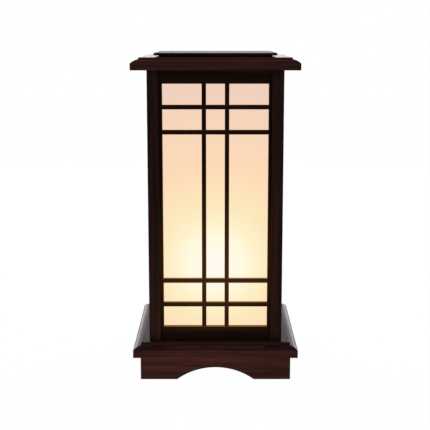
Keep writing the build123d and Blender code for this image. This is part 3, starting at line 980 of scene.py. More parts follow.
def lathe_grid(outline: Array, columns: int, thread: Thread | None = None) -> Array:
    """Points of a turned shape: each (radius, height) of the outline carried round the Z axis.

    Args:
        outline: Points as n x 2, or n x 3 with the share of the thread at each point.
        columns: Spaces round the axis.
        thread: Thread that is cut where the share isn't 0.

    Returns:
        Points as rows x columns x 3, closed round the axis.
    """
    angle = np.linspace(0, TURN, columns + 1)[None, :]
    radius, height = outline[:, 0:1], np.repeat(outline[:, 1:2], columns + 1, axis=1)
    if thread is not None:
        radius = radius - outline[:, 2:3] * thread.cut(height, angle)
    else:
        radius = np.repeat(radius, columns + 1, axis=1)
    return np.stack([radius * np.cos(angle), radius * np.sin(angle), height], axis=-1)


def threaded_line(radius: float, height: Array) -> Array:
    """Upright line of an outline that takes the whole thread, as (radius, height, 1)."""
    return np.stack([np.full(len(height), radius), height, np.ones(len(height))], axis=1)


def groups_of(count: int, pairs: Array) -> Array:
    """Number of the connected group that each of some things is in.

    Every thing takes the lowest label among its neighbours, and then that label's own label,
    until nothing changes.

    Args:
        count: How many things there are.
        pairs: Neighbours, as n x 2.

    Returns:
        Group of each thing, from 0 up.
    """
    labels = np.arange(count)
    while True:
        lowest = labels.copy()
        np.minimum.at(lowest, pairs[:, 0], labels[pairs[:, 1]])
        np.minimum.at(lowest, pairs[:, 1], labels[pairs[:, 0]])
        lowest = lowest[lowest]
        if np.array_equal(lowest, labels):
            return np.unique(labels, return_inverse=True)[1]
        labels = lowest


def node_mesh(node: str) -> bpy.types.Mesh:
    """A CAD node's mesh with each solid's points merged and its flat faces whole.

    An edge belongs to two triangles of one solid. Where two solids touch along an edge, its
    triangles pair off in the order of the solids.

    Args:
        node: Name of the CAD node.

    Returns:
        A new mesh.
    """
    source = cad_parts[node].data
    source.calc_loop_triangles()
    points = read(source.vertices, "co", 3)
    triangles = read(source.loop_triangles, "vertices", 3, int)
    merged = np.unique(np.round(points / MERGE_DISTANCE), axis=0, return_inverse=True)[1].ravel()
    edges = np.sort(merged[triangles][:, [[0, 1], [1, 2], [2, 0]]].reshape(-1, 2), axis=1)
    owner = np.repeat(np.arange(len(triangles)), 3)
    order = np.lexsort((owner, edges[:, 1], edges[:, 0]))
    solid = groups_of(len(triangles), owner[order].reshape(-1, 2))
    keys = np.stack([merged[triangles], np.repeat(solid[:, None], 3, axis=1)], axis=-1).reshape(-1, 2)
    first, index = np.unique(keys, axis=0, return_index=True, return_inverse=True)[1:]
    mesh = new_mesh(node, points[triangles.ravel()[first]], index.reshape(-1, 3))
    with edited(mesh) as work:
        bmesh.ops.dissolve_limit(work, angle_limit=FLAT_ANGLE, verts=work.verts, edges=work.edges)
    return mesh


def face_corners(mesh: bpy.types.Mesh) -> tuple[Array, Array]:
    """Reads a mesh's face corners.

    Args:
        mesh: Mesh to read.

    Returns:
        Place of every face corner, as n x 3, and the number of its face.
    """
    places, vertex = read(mesh.vertices, "co", 3), read(mesh.loops, "vertex_index", kind=int)
    sizes = read(mesh.polygons, "loop_total", kind=int)
    return places[vertex], np.repeat(np.arange(len(sizes)), sizes)


def lay_grain(mesh: bpy.types.Mesh, board_of_face: Array, along: Array, name: str, log: int = 0) -> None:
    """Writes where each face corner lies in the log that its board was cut from.

    The place is (across, across, along) plus a random place of the board's own in the log.

    Args:
        mesh: Mesh to write to.
        board_of_face: Number of the board that each face belongs to.
        along: Axis number of each board's grain.
        name: Name that seeds the random places.
        log: Number of the log, which seeds them too.
    """
    places, face = face_corners(mesh)
    board = board_of_face[face]
    axis = along[board]
    columns = np.array([[1, 2, 0], [0, 2, 1], [0, 1, 2]])[axis]
    random = np.random.default_rng(zlib.crc32(name.encode()) + log)
    start = random.uniform(0, 3, (len(along), 3))
    lightness = random.uniform(-1, 1, len(along))
    grain = np.take_along_axis(places, columns, axis=1) + start[board]
    mesh.attributes.new(GRAIN, "FLOAT_VECTOR", "CORNER").data.foreach_set("vector", grain.ravel())
    mesh.attributes.new(BOARD, "FLOAT", "CORNER").data.foreach_set("value", lightness[board])


def lay_sticks(mesh: bpy.types.Mesh, name: str, log: int) -> None:
    """Lays the grain of every separate stick in a mesh along its longest side.

    Args:
        mesh: Mesh to write to.
        name: Name that seeds the sticks' random places in the log.
        log: Number of the log.
    """
    stick = groups_of(len(mesh.vertices), read(mesh.edges, "vertices", 2, int))
    places = read(mesh.vertices, "co", 3)
    low, high = (np.full((stick.max() + 1, 3), limit) for limit in (np.inf, -np.inf))
    np.minimum.at(low, stick, places)
    np.maximum.at(high, stick, places)
    vertex = read(mesh.loops, "vertex_index", kind=int)[read(mesh.polygons, "loop_start", kind=int)]
    lay_grain(mesh, stick[vertex], np.argmax(high - low, axis=1), name, log)


def add_piece(
    name: str, mesh: bpy.types.Mesh, finish: Finish, slot: Slot, body: Body, *stands_for: str
) -> None:
    """Adds a finished piece and says what it is.

    Args:
        name: Name of the piece.
        mesh: Its mesh, already in place.
        finish: Its finish.
        slot: The record's name for that finish. Not used.
        body: Body that it moves with.
        stands_for: CAD nodes that it replaces.
    """
    piece = new_object(name, mesh)
    mesh.materials.clear()
    mesh.materials.append(finish.material())
    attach(piece, body.value)
    if stands_for:
        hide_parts(*stands_for)
    LOG.info("%s: %d faces of %s", name, len(mesh.polygons), finish.name)


@dataclass(frozen=True)
class Stock:
    """Wood that keeps the shape of its CAD node, with its edges eased."""

    finish: Finish = BODY_WOOD
    slot: Slot = Slot.DARK_WOOD
    body: Body = Body.LANTERN
    ease: float = 0.5 * MM
    log: int = 0

    def dress(self, *nodes: str) -> None:
        """Makes the eased pieces.

        Args:
            nodes: CAD nodes, each of which gets a piece of its own.
        """
        for node in nodes:
            mesh = settled(f"{node}_wood", node_mesh(node), self.ease)
            lay_sticks(mesh, node, self.log)
            add_piece(f"{node}_wood", mesh, self.finish, self.slot, self.body, node)


def on_sides(name: str) -> list[str]:
    """Names of the nodes of a piece that each side has."""
    return [f"{name}_{side.value}" for side in Side]


def on_corners(name: str) -> list[str]:
    """Names of the nodes of a piece that each corner has."""
    return [f"{name}_{corner.value}" for corner in Corner]


@dataclass(frozen=True)
class TurnedPart:
    """A part turned on the lamp's axis that replaces one CAD node."""

    node: str
    finish: Finish
    slot: Slot
    body: Body = Body.LANTERN

    def add(self, *grids: Array) -> None:
        """Adds the part on its grids of points."""
        mesh = settled(f"{self.node}_turned", closed_mesh(self.node, *grids))
        add_piece(f"{self.node}_turned", mesh, self.finish, self.slot, self.body, self.node)

    def turn(self, outline: Array, ease: float, columns: int = 48, closed: bool = True) -> None:
        """Adds the part on its outline, whose corners are eased."""
        self.add(lathe_grid(softened(outline, ease, closed), columns))

    def turn_threaded(self, thread: Thread, columns: int, *lines: Array) -> None:
        """Adds the part on the lines of its closed outline, each (radius, height, thread's share)."""
        self.add(lathe_grid(looped(np.concatenate(lines)), columns, thread))


# ---- Boards with a moulding ------------------------------------------------------------
@dataclass(frozen=True)
class MouldedBoard:
    """Square board whose four mitred edges have a shallow ovolo and a small step."""

    width: float
    edge_height: float
    bottom: float
    hole: float  # half-width of the hole in the middle
    hole_corner: float
    ovolo_run: float = 13.5 * MM
    ovolo_rise: float = 7.8 * MM
    ovolo_radius: float = 26 * MM
    step_ledge: float = 1.0 * MM
    step_run: float = 1.5 * MM
    step_rise: float = 3.7 * MM
    ease: float = 0.5 * MM
    mitre_arris: float = 0.8 * MM
    member_width: float = 62 * MM
    log: int = 0

    def section(self) -> Array:
        """Section of the board, from the hole outwards and back.

        Returns:
            Closed outline, as (half-width, height).
        """
        edge = self.width / 2
        ovolo_edge, ovolo_top = edge - self.ovolo_run, self.edge_height + self.ovolo_rise
        ledge = ovolo_edge - self.step_ledge
        top = ovolo_top + self.step_rise
        inner = edge - self.member_width
        ovolo = arc_points((edge, self.edge_height), (ovolo_edge, ovolo_top), self.ovolo_radius, 9)
        corners = [(self.hole, 0), (inner, 0), (edge, 0), *ovolo, (ledge, ovolo_top)]
        corners += [(ledge - self.step_run, top), (inner, top), (self.hole, top)]
        return softened(np.array(corners), self.ease) + (0, self.bottom)

    def mesh(self, name: str) -> bpy.types.Mesh:
        """Makes the board's mesh, with grain that turns at the mitres.

        Args:
            name: Name of the mesh, which seeds its grain.

        Returns:
            The mesh.
        """
        half, height = self.section().T
        near_hole = half < self.hole + 2 * self.ease
        corner = np.where(near_hole, self.hole_corner + half - self.hole, self.mitre_arris)
        mesh = settled(name, closed_mesh(name, rounded_rings(half, corner, height)))
        places, face = face_corners(mesh)
        middle = np.abs(np.stack([np.bincount(face, places[:, axis]) / np.bincount(face) for axis in (0, 1)]))
        inside = middle.max(axis=0) < self.width / 2 - self.member_width
        board = np.where(inside, 2, (middle[0] > middle[1]).astype(int))
        lay_grain(mesh, board, np.array([Along.X.value, Along.Y.value, Along.X.value]), name, self.log)
        return mesh


# ---- Screws ----------------------------------------------------------------------------
@dataclass(frozen=True)
class ScrewSet:
    """Cross-recessed screws that stand in level wood and are seen from below."""

    name: str
    height: float  # of the wood's underside
    body: Body
    head_radius: float = 3.6 * MM
    dome: float = 0.5 * MM
    buried: float = 1.6 * MM
    arm: float = 0.62  # recess's reach, as a share of the head's radius
    arm_width: float = 0.17  # half of it, as such a share
    recess: float = 1.1 * MM
    taper: float = 0.75  # share of the recess's depth lost at the arms' ends
    along: float = 60 * MM  # from the middle of the side
    away: float = 109 * MM  # from the lamp's axis

    def head(self) -> tuple[Array, Array]:
        """Two grids of one head at the origin, the seen face and the buried one.

        A square (u, v) becomes a disc by (u sqrt(1 - v^2/2), v sqrt(1 - u^2/2)). The seen face
        is a dome, lower inside the two crossed arms, whose floor tapers towards their ends. The
        grid has a line on each side of every step.

        Returns:
            The two grids, as rows x columns x 3.
        """
        arm, width = self.arm, self.arm_width
        half = np.array([0, width * 0.9, width * 1.1, 0.4, arm * 0.96, arm * 1.04, 0.85, 1])
        line = np.concatenate([-half[:0:-1], half])
        u, v = np.meshgrid(line, line, indexing="ij")
        x, y = u * np.sqrt(1 - v**2 / 2), v * np.sqrt(1 - u**2 / 2)
        round_share = np.clip(x**2 + y**2, 0, 1)
        in_arm = ((abs(u) < width) & (abs(v) < arm)) | ((abs(v) < width) & (abs(u) < arm))
        depth = in_arm * self.recess * (1 - self.taper * np.maximum(abs(u), abs(v)) / arm)
        seen = self.dome * (1 - round_share) - depth
        buried = -self.buried * (1 - round_share)
        radius = self.head_radius
        return tuple(np.stack([x * radius, y * radius, z], axis=-1) for z in (seen, buried))

    def add(self) -> None:
        """Adds the eight screws, two along each side."""
        grids = []
        turns = np.random.default_rng(zlib.crc32(self.name.encode())).uniform(0, TURN / 4, 8)
        for number, spin in enumerate(turns):
            quarter, place = number // 2, (2 * (number % 2) - 1) * self.along
            spot = turned_points(np.array([place, -self.away, 0.0]), quarter * TURN / 4)
            for grid in self.head():
                face_down = turned_points(grid, spin) * (1, 1, -1)
                grids.append(face_down + spot + (0, 0, self.height))
        mesh = settled(self.name, closed_mesh(self.name, *grids))
        add_piece(self.name, mesh, ZINC_STEEL, Slot.ZINC_STEEL, self.body)


def turned_points(points: Array, angle: float) -> Array:
    """Points turned about the Z axis by an angle."""
    cosine, sine = math.cos(angle), math.sin(angle)
    return points @ np.array([[cosine, sine, 0.0], [-sine, cosine, 0.0], [0.0, 0.0, 1.0]])


# ---- Sub-assemblies --------------------------------------------------------------------
@dataclass(frozen=True)
class Plinth:
    """Arched aprons on felt pads, and the moulded board that carries the lantern."""

    board: MouldedBoard = MouldedBoard(
        width=333 * MM, edge_height=15.2 * MM, ovolo_rise=7.4 * MM, step_rise=5.9 * MM, bottom=51 * MM,
        hole=5.4 * MM, hole_corner=5.4 * MM, log=5,
    )
    pad_radius: float = 12 * MM
    pad_height: float = 1 * MM
    pad_place: float = 119.5 * MM

    def build(self) -> None:
        """Makes the plinth's pieces."""
        Stock(finish=MOULDING_WOOD, ease=0.6 * MM, log=3).dress(*on_sides("apron"))
        Stock(finish=BARE_WOOD, slot=Slot.INNER_WOOD).dress("corner_blocks")
        mesh = self.board.mesh("plinth_board_moulded")
        add_piece(mesh.name, mesh, MOULDING_WOOD, Slot.DARK_WOOD, Body.LANTERN, "plinth_board")
        self.add_pads()
        ScrewSet("plinth_screws", height=self.board.bottom, body=Body.LANTERN).add()

    def add_pads(self) -> None:
        """Makes the four felt pads, discs with soft rims."""
        outline = np.array([(0, 0), (1, 0), (1, 1), (0, 1)]) * (self.pad_radius, self.pad_height)
        disc = lathe_grid(softened(outline, 0.6 * MM, closed=False), 40)
        spots = [np.array([x, y, 0.0]) * self.pad_place for x in (-1, 1) for y in (-1, 1)]
        mesh = settled("felt_pads", closed_mesh("felt_pads", *(disc + spot for spot in spots)))
        add_piece("felt_pads", mesh, FELT, Slot.FOOT_PAD, Body.LANTERN, "foot_pads")


@dataclass(frozen=True)
class LanternBody:
    """Posts, rails, lattices and the lit panels behind them."""

    panel_ease: float = 0.3 * MM

    def build(self) -> None:
        """Makes the body's pieces."""
        Stock(ease=0.6 * MM).dress(*on_corners("post"))
        Stock().dress(*on_sides("bottom_rail"))
        # the top rails' darker wood is painted shade of the lid's overhang
        Stock(finish=WAXED_WOOD_AND_PAINTED_SHADE).dress(*on_sides("top_rail"))
        lattice = (*on_sides("lattice_border"), *on_sides("lattice_bars"))
        Stock(finish=LATTICE_WOOD, ease=0.45 * MM).dress(*lattice)
        Stock(finish=BARE_WOOD, slot=Slot.INNER_WOOD).dress("sill_strips", *on_corners("corner_bead"))
        self.add_panels()

    def add_panels(self) -> None:
        """Makes the four frosted panels with their edges ground."""
        for node in on_sides("panel"):
            mesh = settled(f"{node}_glass", node_mesh(node), self.panel_ease)
            add_piece(f"{node}_glass", mesh, PANEL_GLASS, Slot.PANEL, Body.LANTERN, node)


@dataclass(frozen=True)
class Lid:
    """Moulded board with a vent, the raised plate over it, and the cleats that hold it in place."""

    board: MouldedBoard = MouldedBoard(
        width=330 * MM, edge_height=13 * MM, bottom=627.5 * MM, hole=90 * MM, hole_corner=8 * MM, log=2
    )
    plate_half: float = 122.3 * MM
    plate_corner: float = 12 * MM
    plate_bottom: float = 655 * MM
    plate_top: float = 660 * MM
    plate_edge: float = 1.3 * MM
    cleat_bottom: float = 612.5 * MM

    def build(self) -> None:
        """Makes the lid's pieces."""
        mesh = self.board.mesh("lid_board_moulded")
        add_piece(mesh.name, mesh, MOULDING_WOOD, Slot.DARK_WOOD, Body.LID, "lid_board")
        self.add_plate()
        # the spacer strips' darker wood is partly painted shade of the gap under the plate
        Stock(finish=WAXED_WOOD_AND_PAINTED_SHADE, body=Body.LID, ease=0.3 * MM).dress("spacer_strips")
        Stock(finish=BARE_WOOD, slot=Slot.INNER_WOOD, body=Body.LID).dress("lid_cleats")
        ScrewSet("cleat_screws", height=self.cleat_bottom, body=Body.LID).add()

    def add_plate(self) -> None:
        """Makes the raised plate: rings from its middle above, over its round edge, to below.

        At a turn t of the edge a ring's half-width is the flat's plus the edge's radius times cos t.
        Its height is the middle one, plus that radius times sin t, plus or minus half of what is
        straight between the two rounds.
        """
        turn = np.linspace(TURN / 4, -TURN / 4, 9)
        flat = self.plate_half - self.plate_edge
        middle = (self.plate_top + self.plate_bottom) / 2
        straight = (self.plate_top - self.plate_bottom) / 2 - self.plate_edge
        half = np.concatenate([[0.0], flat + self.plate_edge * np.cos(turn), [0.0]])
        rise = middle + straight * np.sign(turn) + self.plate_edge * np.sin(turn)
        height = np.concatenate([[self.plate_top], rise, [self.plate_bottom]])
        corner = np.minimum(half, self.plate_corner - self.plate_half + half)
        corner = np.where(half < flat - MM, half, corner)
        mesh = settled("top_plate_moulded", closed_mesh("top_plate", rounded_rings(half, corner, height, 8)))
        lay_grain(mesh, np.zeros(len(mesh.polygons), int), np.array([Along.X.value]), "top_plate")
        add_piece("top_plate_moulded", mesh, WAXED_WOOD_AND_PAINTED_SHADE, Slot.DARK_WOOD, Body.LID, "top_plate")


@dataclass(frozen=True)
class LampSupport:
    """Threaded pipe through the plinth board, with its nuts, washer, bush, ring and sleeve."""

    pipe_radius: float = 5 * MM
    pipe_bore: float = 3.5 * MM
    pipe_bottom: float = 43 * MM
    pipe_top: float = 142.5 * MM
    pipe_thread: Thread = Thread(pitch=1 * MM, depth=0.4 * MM, bottom=42.5 * MM, top=143 * MM)
    nut_half: float = 7 * MM
    nut_height: float = 4 * MM
    nut_bottoms: tuple[float, float] = (45.5 * MM, 137 * MM)
    washer_radius: float = 10 * MM
    washer_bottom: float = 49.5 * MM
    washer_top: float = 51 * MM
    bush_bore: float = 2.8 * MM
    bush_flange: float = 5.8 * MM
    bush_bottom: float = 41.5 * MM
    bush_top: float = 51 * MM
    ring_radius: float = 16 * MM
    ring_bottom: float = 79.5 * MM
    ring_edge: float = 1 * MM
    ring_hollow_radius: float = 11 * MM
    ring_hollow_height: float = 1.4 * MM
    ring_neck: float = 9 * MM
    sleeve_radius: float = 8 * MM
    sleeve_wall: float = 1 * MM
    sleeve_bottom: float = 82.5 * MM
    sleeve_top: float = 134.5 * MM

    def build(self) -> None:
        """Makes the support's pieces."""
        self.add_pipe()
        self.add_nuts()
        washer = self.ring(self.pipe_radius, self.washer_radius, self.washer_bottom, self.washer_top)
        TurnedPart("pipe_washer", ZINC_STEEL, Slot.ZINC_STEEL).turn(washer, ease=0.3 * MM)
        self.add_bush()
        self.add_seating_ring()
        sleeve = self.ring(
            self.sleeve_radius - self.sleeve_wall, self.sleeve_radius, self.sleeve_bottom, self.sleeve_top
        )
        TurnedPart("sleeve_tube", BRASS, Slot.BRASS).turn(sleeve, ease=0.25 * MM)

    @staticmethod
    def ring(inner: float, outer: float, bottom: float, top: float) -> Array:
        """Closed outline of a plain ring."""
        return np.array([(inner, bottom), (outer, bottom), (outer, top), (inner, top)])

    def add_pipe(self) -> None:
        """Makes the pipe: its threaded outside from the bottom up, and its plain bore down."""
        turns = round((self.pipe_top - self.pipe_bottom) / self.pipe_thread.pitch)
        height = np.linspace(self.pipe_bottom, self.pipe_top, turns * 6)
        bore = np.array([(self.pipe_bore, self.pipe_top, 0.0), (self.pipe_bore, self.pipe_bottom, 0.0)])
        pipe = TurnedPart("lamp_pipe", ZINC_STEEL, Slot.ZINC_STEEL)
        pipe.turn_threaded(self.pipe_thread, 28, threaded_line(self.pipe_radius, height), bore)

    def nut(self, bottom: float) -> Array:
        """Grid of a nut, whose corners are chamfered.

        A hexagon's radius is its half-width / cos of the angle from the middle of a flat. It is
        held inside a cone at each end, and outside the pipe.

        Args:
            bottom: Height of its underside.

        Returns:
            Points as rows x columns x 3, closed both ways.
        """
        top, half = bottom + self.nut_height, self.nut_half
        chamfer = 0.5 * MM
        cone = half * np.array([0, 0.96, 1.05, 1.16])
        limit = np.concatenate([cone, cone[::-1]])
        height = np.array([bottom, bottom, bottom + chamfer / 2, bottom + chamfer])
        height = np.concatenate([height, (bottom + top) - height[::-1]])
        angle = np.linspace(0, TURN, 6 * 16 + 1)
        hexagon = half / np.cos((angle + TURN / 12) % (TURN / 6) - TURN / 12)
        radius = np.maximum(np.minimum(hexagon[None, :], limit[:, None]), self.pipe_radius)
        level = np.repeat(height[:, None], len(angle), axis=1)
        return looped(np.stack([radius * np.cos(angle), radius * np.sin(angle), level], axis=-1))

    def add_nuts(self) -> None:
        """Makes the nut under the board and the one in the lampholder's cap."""
        nuts = (self.nut(bottom) for bottom in self.nut_bottoms)
        TurnedPart("lock_nuts", ZINC_STEEL, Slot.ZINC_STEEL).add(*nuts)

    def add_bush(self) -> None:
        """Makes the flanged bush whose mouth is rounded for the cord."""
        outline = np.array([
            (self.bush_bore, self.bush_bottom),
            (self.bush_flange, self.bush_bottom),
            (self.bush_flange, self.pipe_bottom),
            (self.pipe_bore, self.pipe_bottom),
            (self.pipe_bore, self.bush_top),
            (self.bush_bore, self.bush_top),
        ])
        TurnedPart("cord_bush", BLACK_NYLON, Slot.BUSH).turn(outline, ease=0.4 * MM)

    def add_seating_ring(self) -> None:
        """Makes the low ring: an edge, then a hollow sweep up to the sleeve.

        The sweep is (1-t)^2 rim + 2t(1-t) hollow + t^2 neck for t from 0 to 1.
        """
        sweep = np.linspace(0, 1, 8)[:, None]
        rim = np.array([self.ring_radius, self.ring_bottom + self.ring_edge])
        hollow = np.array([self.ring_hollow_radius, self.ring_bottom + self.ring_hollow_height])
        neck = np.array([self.ring_neck, self.sleeve_bottom])
        outline = np.concatenate([
            [(self.pipe_radius, self.ring_bottom), (self.ring_radius, self.ring_bottom)],
            (1 - sweep) ** 2 * rim + 2 * sweep * (1 - sweep) * hollow + sweep**2 * neck,
            [(self.pipe_radius, self.sleeve_bottom)],
        ])
        TurnedPart("seating_ring", BRASS, Slot.BRASS).turn(outline, ease=0.25 * MM, columns=64)


@dataclass(frozen=True)
class Lampholder:
    """Spun cap and shell round a porcelain block, which holds the screw shell and contact."""

    base: float = 134.5 * MM
    floor: float = 137 * MM
    cone_top: float = 143.5 * MM
    joint: float = 148.5 * MM
    top: float = 186.5 * MM
    neck: float = 8.48 * MM
    pipe_radius: float = 5 * MM
    bore: float = 16.3 * MM
    wall: float = 1.2 * MM
    rim: float = 19 * MM
    rim_height: float = 3.5 * MM
    lip: float = 15.2 * MM
    block_radius: float = 15.8 * MM
    block_base: float = 144.5 * MM
    block_top: float = 158.5 * MM
    recess: float = 14.1 * MM
    shell_base: float = 154.5 * MM
    shell_top: float = 180.5 * MM
    shell_wall: float = 0.5 * MM
    shell_hole: float = 6 * MM
    groove_place: float = 6 * MM  # from each end of the shell's straight part
    groove_depth: float = 0.35 * MM
    groove_width: float = 0.9 * MM
    shell_thread: Thread = Thread(pitch=3.63 * MM, depth=0.32 * MM, bottom=156.5 * MM, top=179 * MM)
    contact_radius: float = 3.5 * MM
    contact_top: float = 156.7 * MM

    def build(self) -> None:
        """Makes the lampholder's pieces."""
        outer = self.bore + self.wall
        cap = np.array([
            (self.pipe_radius, self.base),
            (self.neck, self.base),
            (outer, self.cone_top),
            (outer, self.joint - 1 * MM),
            (outer, self.joint),
            (self.bore, self.joint),
            (self.bore, self.cone_top + self.wall),
            (self.neck, self.floor),
            (self.pipe_radius, self.floor),
        ])
        TurnedPart("lampholder_cap", BRASS, Slot.BRASS).turn(cap, ease=0.9 * MM, columns=64)
        self.add_shell(outer)
        block = np.array([
            (0, self.block_base),
            (self.block_radius, self.block_base),
            (self.block_radius, self.block_top),
            (self.recess, self.block_top),
            (self.recess, self.shell_base),
            (0, self.shell_base),
        ])
        insulator = TurnedPart("lampholder_insulator", PORCELAIN, Slot.PORCELAIN)
        insulator.turn(block, ease=0.4 * MM, columns=64, closed=False)
        self.add_screw_shell()
        contact = np.array([
            (0, self.shell_base),
            (self.contact_radius, self.shell_base),
            (self.contact_radius, self.contact_top),
            (0, self.contact_top),
        ])
        button = TurnedPart("centre_contact", BRASS, Slot.BRASS)
        button.turn(contact, ease=0.7 * MM, columns=32, closed=False)

    def add_shell(self, outer: float) -> None:
        """Makes the shell, with two shallow rolled grooves and a thick rim that turns inwards.

        A groove takes its depth times exp(-(distance / width)^2) off the outer radius.

        Args:
            outer: Radius of the straight part.
        """
        rim_bottom = self.top - self.rim_height
        height = np.linspace(self.joint + 0.4 * MM, rim_bottom, 60)
        radius = np.full(len(height), outer)
        for groove in (self.joint + self.groove_place, rim_bottom - self.groove_place):
            radius = radius - self.groove_depth * np.exp(-(((height - groove) / self.groove_width) ** 2))
        outline = np.concatenate([
            [(self.bore, self.joint), (outer, self.joint)],
            np.stack([radius, height], axis=1),
            [
                (self.rim, rim_bottom + self.rim - outer),
                (self.rim, self.top),
                (self.lip, self.top),
                (self.lip, self.top - self.wall),
                (self.bore, self.top - self.wall),
            ],
        ])
        TurnedPart("lampholder_shell", BRASS, Slot.BRASS).turn(outline, ease=0.5 * MM, columns=64)

    def add_screw_shell(self) -> None:
        """Makes the thin screw shell, whose thread is pressed into both of its faces."""
        floor = self.shell_base + self.shell_wall
        outside = threaded_line(self.recess, np.linspace(self.shell_base, self.shell_top, 90))
        inside = threaded_line(self.recess - self.shell_wall, np.linspace(self.shell_top, floor, 90))
        hole = np.array([(self.shell_hole, floor, 0.0), (self.shell_hole, self.shell_base, 0.0)])
        shell = TurnedPart("screw_shell", BRASS, Slot.BRASS)
        shell.turn_threaded(self.shell_thread, 64, outside, inside, hole)


@dataclass(frozen=True)
class LampBulb:
    """Frosted globe on a screw cap."""

    tip: float = 157 * MM
    globe_radius: float = 30 * MM
    globe_centre: float = BULB_HEIGHT
    shoulder_radius: float = 30 * MM
    neck_radius: float = 12.7 * MM
    neck_foot: float = 178 * MM
    glass: float = 1 * MM
    cap_radius: float = 13.2 * MM
    cap_wall: float = 0.4 * MM
    cap_bottom: float = 161.5 * MM
    cap_top: float = 184 * MM
    cap_thread: Thread = Thread(pitch=3.63 * MM, depth=0.55 * MM, bottom=163.4 * MM, top=177.6 * MM)
    insulator_radius: float = 11.5 * MM
    contact_radius: float = 4.5 * MM
    contact_height: float = 1.6 * MM

    def build(self) -> None:
        """Makes the bulb's pieces."""
        outside, inside = self.glass_line(0.0), self.glass_line(self.glass)[::-1]
        envelope = TurnedPart("bulb_envelope", BULB_GLASS, Slot.BULB_GLASS, Body.BULB)
        envelope.add(lathe_grid(np.concatenate([outside, inside]), columns=64))
        self.add_cap()
        shoulder = self.cap_bottom + self.cap_wall
        insulator = np.array([
            (0, self.tip),
            (self.contact_radius, self.tip),
            (self.contact_radius, self.tip + self.contact_height),
            (self.insulator_radius, self.cap_bottom),
            (self.insulator_radius, shoulder),
            (0, shoulder),
        ])
        contact = TurnedPart("bulb_contact", BLACK_GLASS, Slot.BULB_INSULATOR, Body.BULB)
        contact.turn(insulator, ease=0.5 * MM, closed=False)

    def glass_line(self, inset: float) -> Array:
        """Line of the glass from its crown to its foot.

        The globe's circle runs into a hollow shoulder arc that touches both it and the neck, so
        their centres are the sum of both radii apart.

        Args:
            inset: How far the line lies inside the outer surface.

        Returns:
            Points as n x 2, (radius, height).
        """
        globe, shoulder = self.globe_radius - inset, self.shoulder_radius + inset
        neck = self.neck_radius - inset
        across = neck + shoulder
        down = math.sqrt((globe + shoulder) ** 2 - across**2)
        meeting = math.atan2(down, across)
        round_globe = np.linspace(TURN / 4, -meeting, 44)
        round_shoulder = np.linspace(meeting, 0, 14)[1:]
        centre = self.globe_centre
        upper = np.stack([globe * np.cos(round_globe), centre + globe * np.sin(round_globe)], axis=1)
        lower = np.stack([
            across - shoulder * np.cos(round_shoulder),
            centre - down + shoulder * np.sin(round_shoulder),
        ], axis=1)
        upper[0, 0] = 0.0
        return np.concatenate([upper, lower, [(neck, self.neck_foot)]])

    def add_cap(self) -> None:
        """Makes the thin screw cap, whose thread is pressed into both of its faces."""
        shoulder = self.cap_bottom + (self.cap_radius - self.insulator_radius)
        height = np.linspace(shoulder, self.cap_top, 80)
        outside = threaded_line(self.cap_radius, height)
        inside = threaded_line(self.cap_radius - self.cap_wall, height[::-1])
        foot = np.array([
            (self.insulator_radius, self.cap_bottom + self.cap_wall, 0.0),
            (self.insulator_radius, self.cap_bottom, 0.0),
        ])
        cap = TurnedPart("bulb_cap", CAP_METAL, Slot.BULB_METAL, Body.BULB)
        cap.turn_threaded(self.cap_thread, 64, outside, inside, foot)


# ---- Studio ----------------------------------------------------------------------------
@dataclass(frozen=True)
class SoftBox:
    """Square soft light aimed at the lamp's middle, which mirrored light doesn't see."""

    azimuth: float  # degrees round from the front, towards the right
    elevation: float
    power: float
    distance: float = 3.0
    size: float = 2.0

    def add(self, name: str, target: Array) -> None:
        """Adds the light.

        Args:
            name: Its name.
            target: Point that it is aimed at.
        """
        turn, rise = math.radians(self.azimuth), math.radians(self.elevation)
        level = math.cos(rise)
        back = np.array([math.sin(turn) * level, -math.cos(turn) * level, math.sin(rise)])
        data = bpy.data.lights.new(name, "AREA")
        data.energy, data.size = self.power, self.size
        light = new_object(name, data)
        light.location = target + back * self.distance
        light.rotation_euler = (math.pi / 2 - rise, 0.0, turn)
        light.visible_camera = False
        light.visible_glossy = False


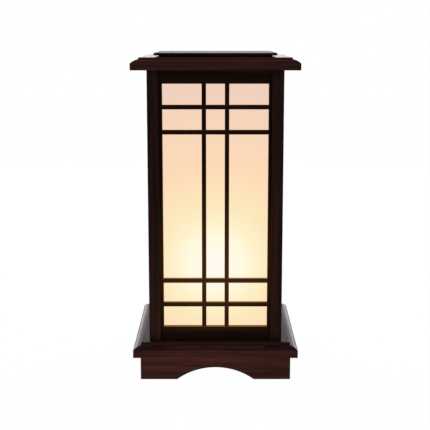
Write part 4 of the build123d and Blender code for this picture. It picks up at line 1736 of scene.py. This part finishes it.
@dataclass(frozen=True)
class Studio:
    """Pale floor, soft lights, a surround that is brightest low down, and the camera."""

    soft_boxes: tuple[SoftBox, ...] = (
        SoftBox(-140, 24, 14),
        SoftBox(140, 24, 14),
    )
    target: Place = (0.0, 0.0, 0.33)
    floor: PaleFloor = PaleFloor("pale_floor")
    floor_half: float = 8.0
    floor_lines: int = 17
    side_light: float = 1.9
    top_light: float = 0.08
    side_to_top: Range = (0.0, 0.5)  # heights between which the one gives way to the other
    mirrored_light: float = 2.0
    mirrored_tint: Colour = (1.0, 0.94, 0.97)
    mirrored_horizon: float = 3.6  # how many times brighter the backdrop is low down
    mirrored_above: float = 0.4
    mirrored_dark: float = 0.07
    backdrop_foot: Range = (-0.03, 0.0)  # heights, as the sine of the angle above the horizon
    backdrop_low: Range = (0.05, 0.14)
    backdrop_top: Range = (0.25, 0.42)
    backdrop_side: Range = (-0.1, 0.5)  # part of the direction that points to the back
    above_foot: Range = (0.6, 0.8)
    above_top: Range = (0.88, 0.97)
    camera_distance: float = 2.0234
    camera_height: float = 0.696
    camera_side: float = -0.0009
    camera_pitch: float = 0.171
    camera_shift: float = -0.0349
    lens: float = 80.34

    def build(self) -> None:
        """Adds everything round the lamp."""
        for number, box in enumerate(self.soft_boxes):
            box.add(f"soft_box_{number}", np.array(self.target))
        self.add_floor()
        self.paint_world()
        self.add_camera()

    def add_floor(self) -> None:
        """Adds the floor, a level grid whose faces are turned over to face up."""
        line = np.linspace(-self.floor_half, self.floor_half, self.floor_lines)
        x, y = np.meshgrid(line, line)
        points = np.stack([x, y, np.zeros_like(x)], axis=-1).reshape(-1, 3)
        floor = new_object("floor", new_mesh("floor", points, grid_faces(*x.shape)[:, [0, 3, 2, 1]]))
        floor.data.materials.append(self.floor.material())

    def paint_world(self) -> None:
        """Paints the surround.

        It is white to the camera. Mirrored light sees a bright backdrop behind the lamp, which is
        brightest low down and ends some way above the horizon, and a dimmer patch high above.
        Scattered light sees more from the sides than from above.
        """
        world = bpy.data.worlds.new("surround")
        bpy.context.scene.world = world
        world.use_nodes = True
        graph = Graph(world.node_tree)
        toward = graph.parts(graph.node("TexCoord").outputs["Generated"])
        height = toward[2]
        fades = (
            graph.spread(height, *self.backdrop_top, 1.0, 0.0),
            graph.spread(toward[1], *self.backdrop_side),
            graph.spread(height, *self.backdrop_low, self.mirrored_horizon, 1.0),
        )
        backdrop = graph.spread(height, *self.backdrop_foot)
        for fade in fades:
            backdrop = graph.math("MULTIPLY", backdrop, fade)
        above_top = graph.spread(height, *self.above_top, 1.0, 0.0)
        above = graph.math("MULTIPLY", graph.spread(height, *self.above_foot), above_top)
        dim = graph.math("MULTIPLY_ADD", above, self.mirrored_above, self.mirrored_dark)
        mirrored = graph.math("MULTIPLY_ADD", backdrop, self.mirrored_light, dim)
        around = graph.spread(height, *self.side_to_top, self.side_light, self.top_light)
        path = graph.node("LightPath").outputs
        level = graph.node("Mix", {0: path["Is Glossy Ray"], 2: around, 3: mirrored}).outputs[0]
        strength = graph.node("Mix", {0: path["Is Camera Ray"], 2: level, 3: 1.0}).outputs[0]
        tint = graph.mix(path["Is Glossy Ray"], (1.0, 1.0, 1.0), self.mirrored_tint)
        background = graph.node("Background", {"Color": tint, "Strength": strength})
        graph.node("OutputWorld", {"Surface": background.outputs[0]})

    def add_camera(self) -> None:
        """Adds the camera, in front and a little above the lid."""
        data = bpy.data.cameras.new("camera")
        data.lens, data.sensor_width = self.lens, 36.0
        data.shift_y = self.camera_shift
        data.clip_end = 60.0
        camera = new_object("camera", data)
        camera.location = (self.camera_side, -self.camera_distance, self.camera_height)
        camera.rotation_euler = (math.pi / 2 - self.camera_pitch, 0.0, 0.0)
        bpy.context.scene.camera = camera


def main() -> None:
    """Builds the lamp and the studio round it."""
    logging.basicConfig(level=logging.INFO, format="%(message)s")
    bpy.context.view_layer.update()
    bpy.context.scene.view_settings.view_transform = "Standard"
    for part in (Plinth(), LanternBody(), Lid(), LampSupport(), Lampholder(), LampBulb(), Studio()):
        LOG.info("%s", type(part).__name__)
        part.build()


if __name__ == "__main__":
    main()
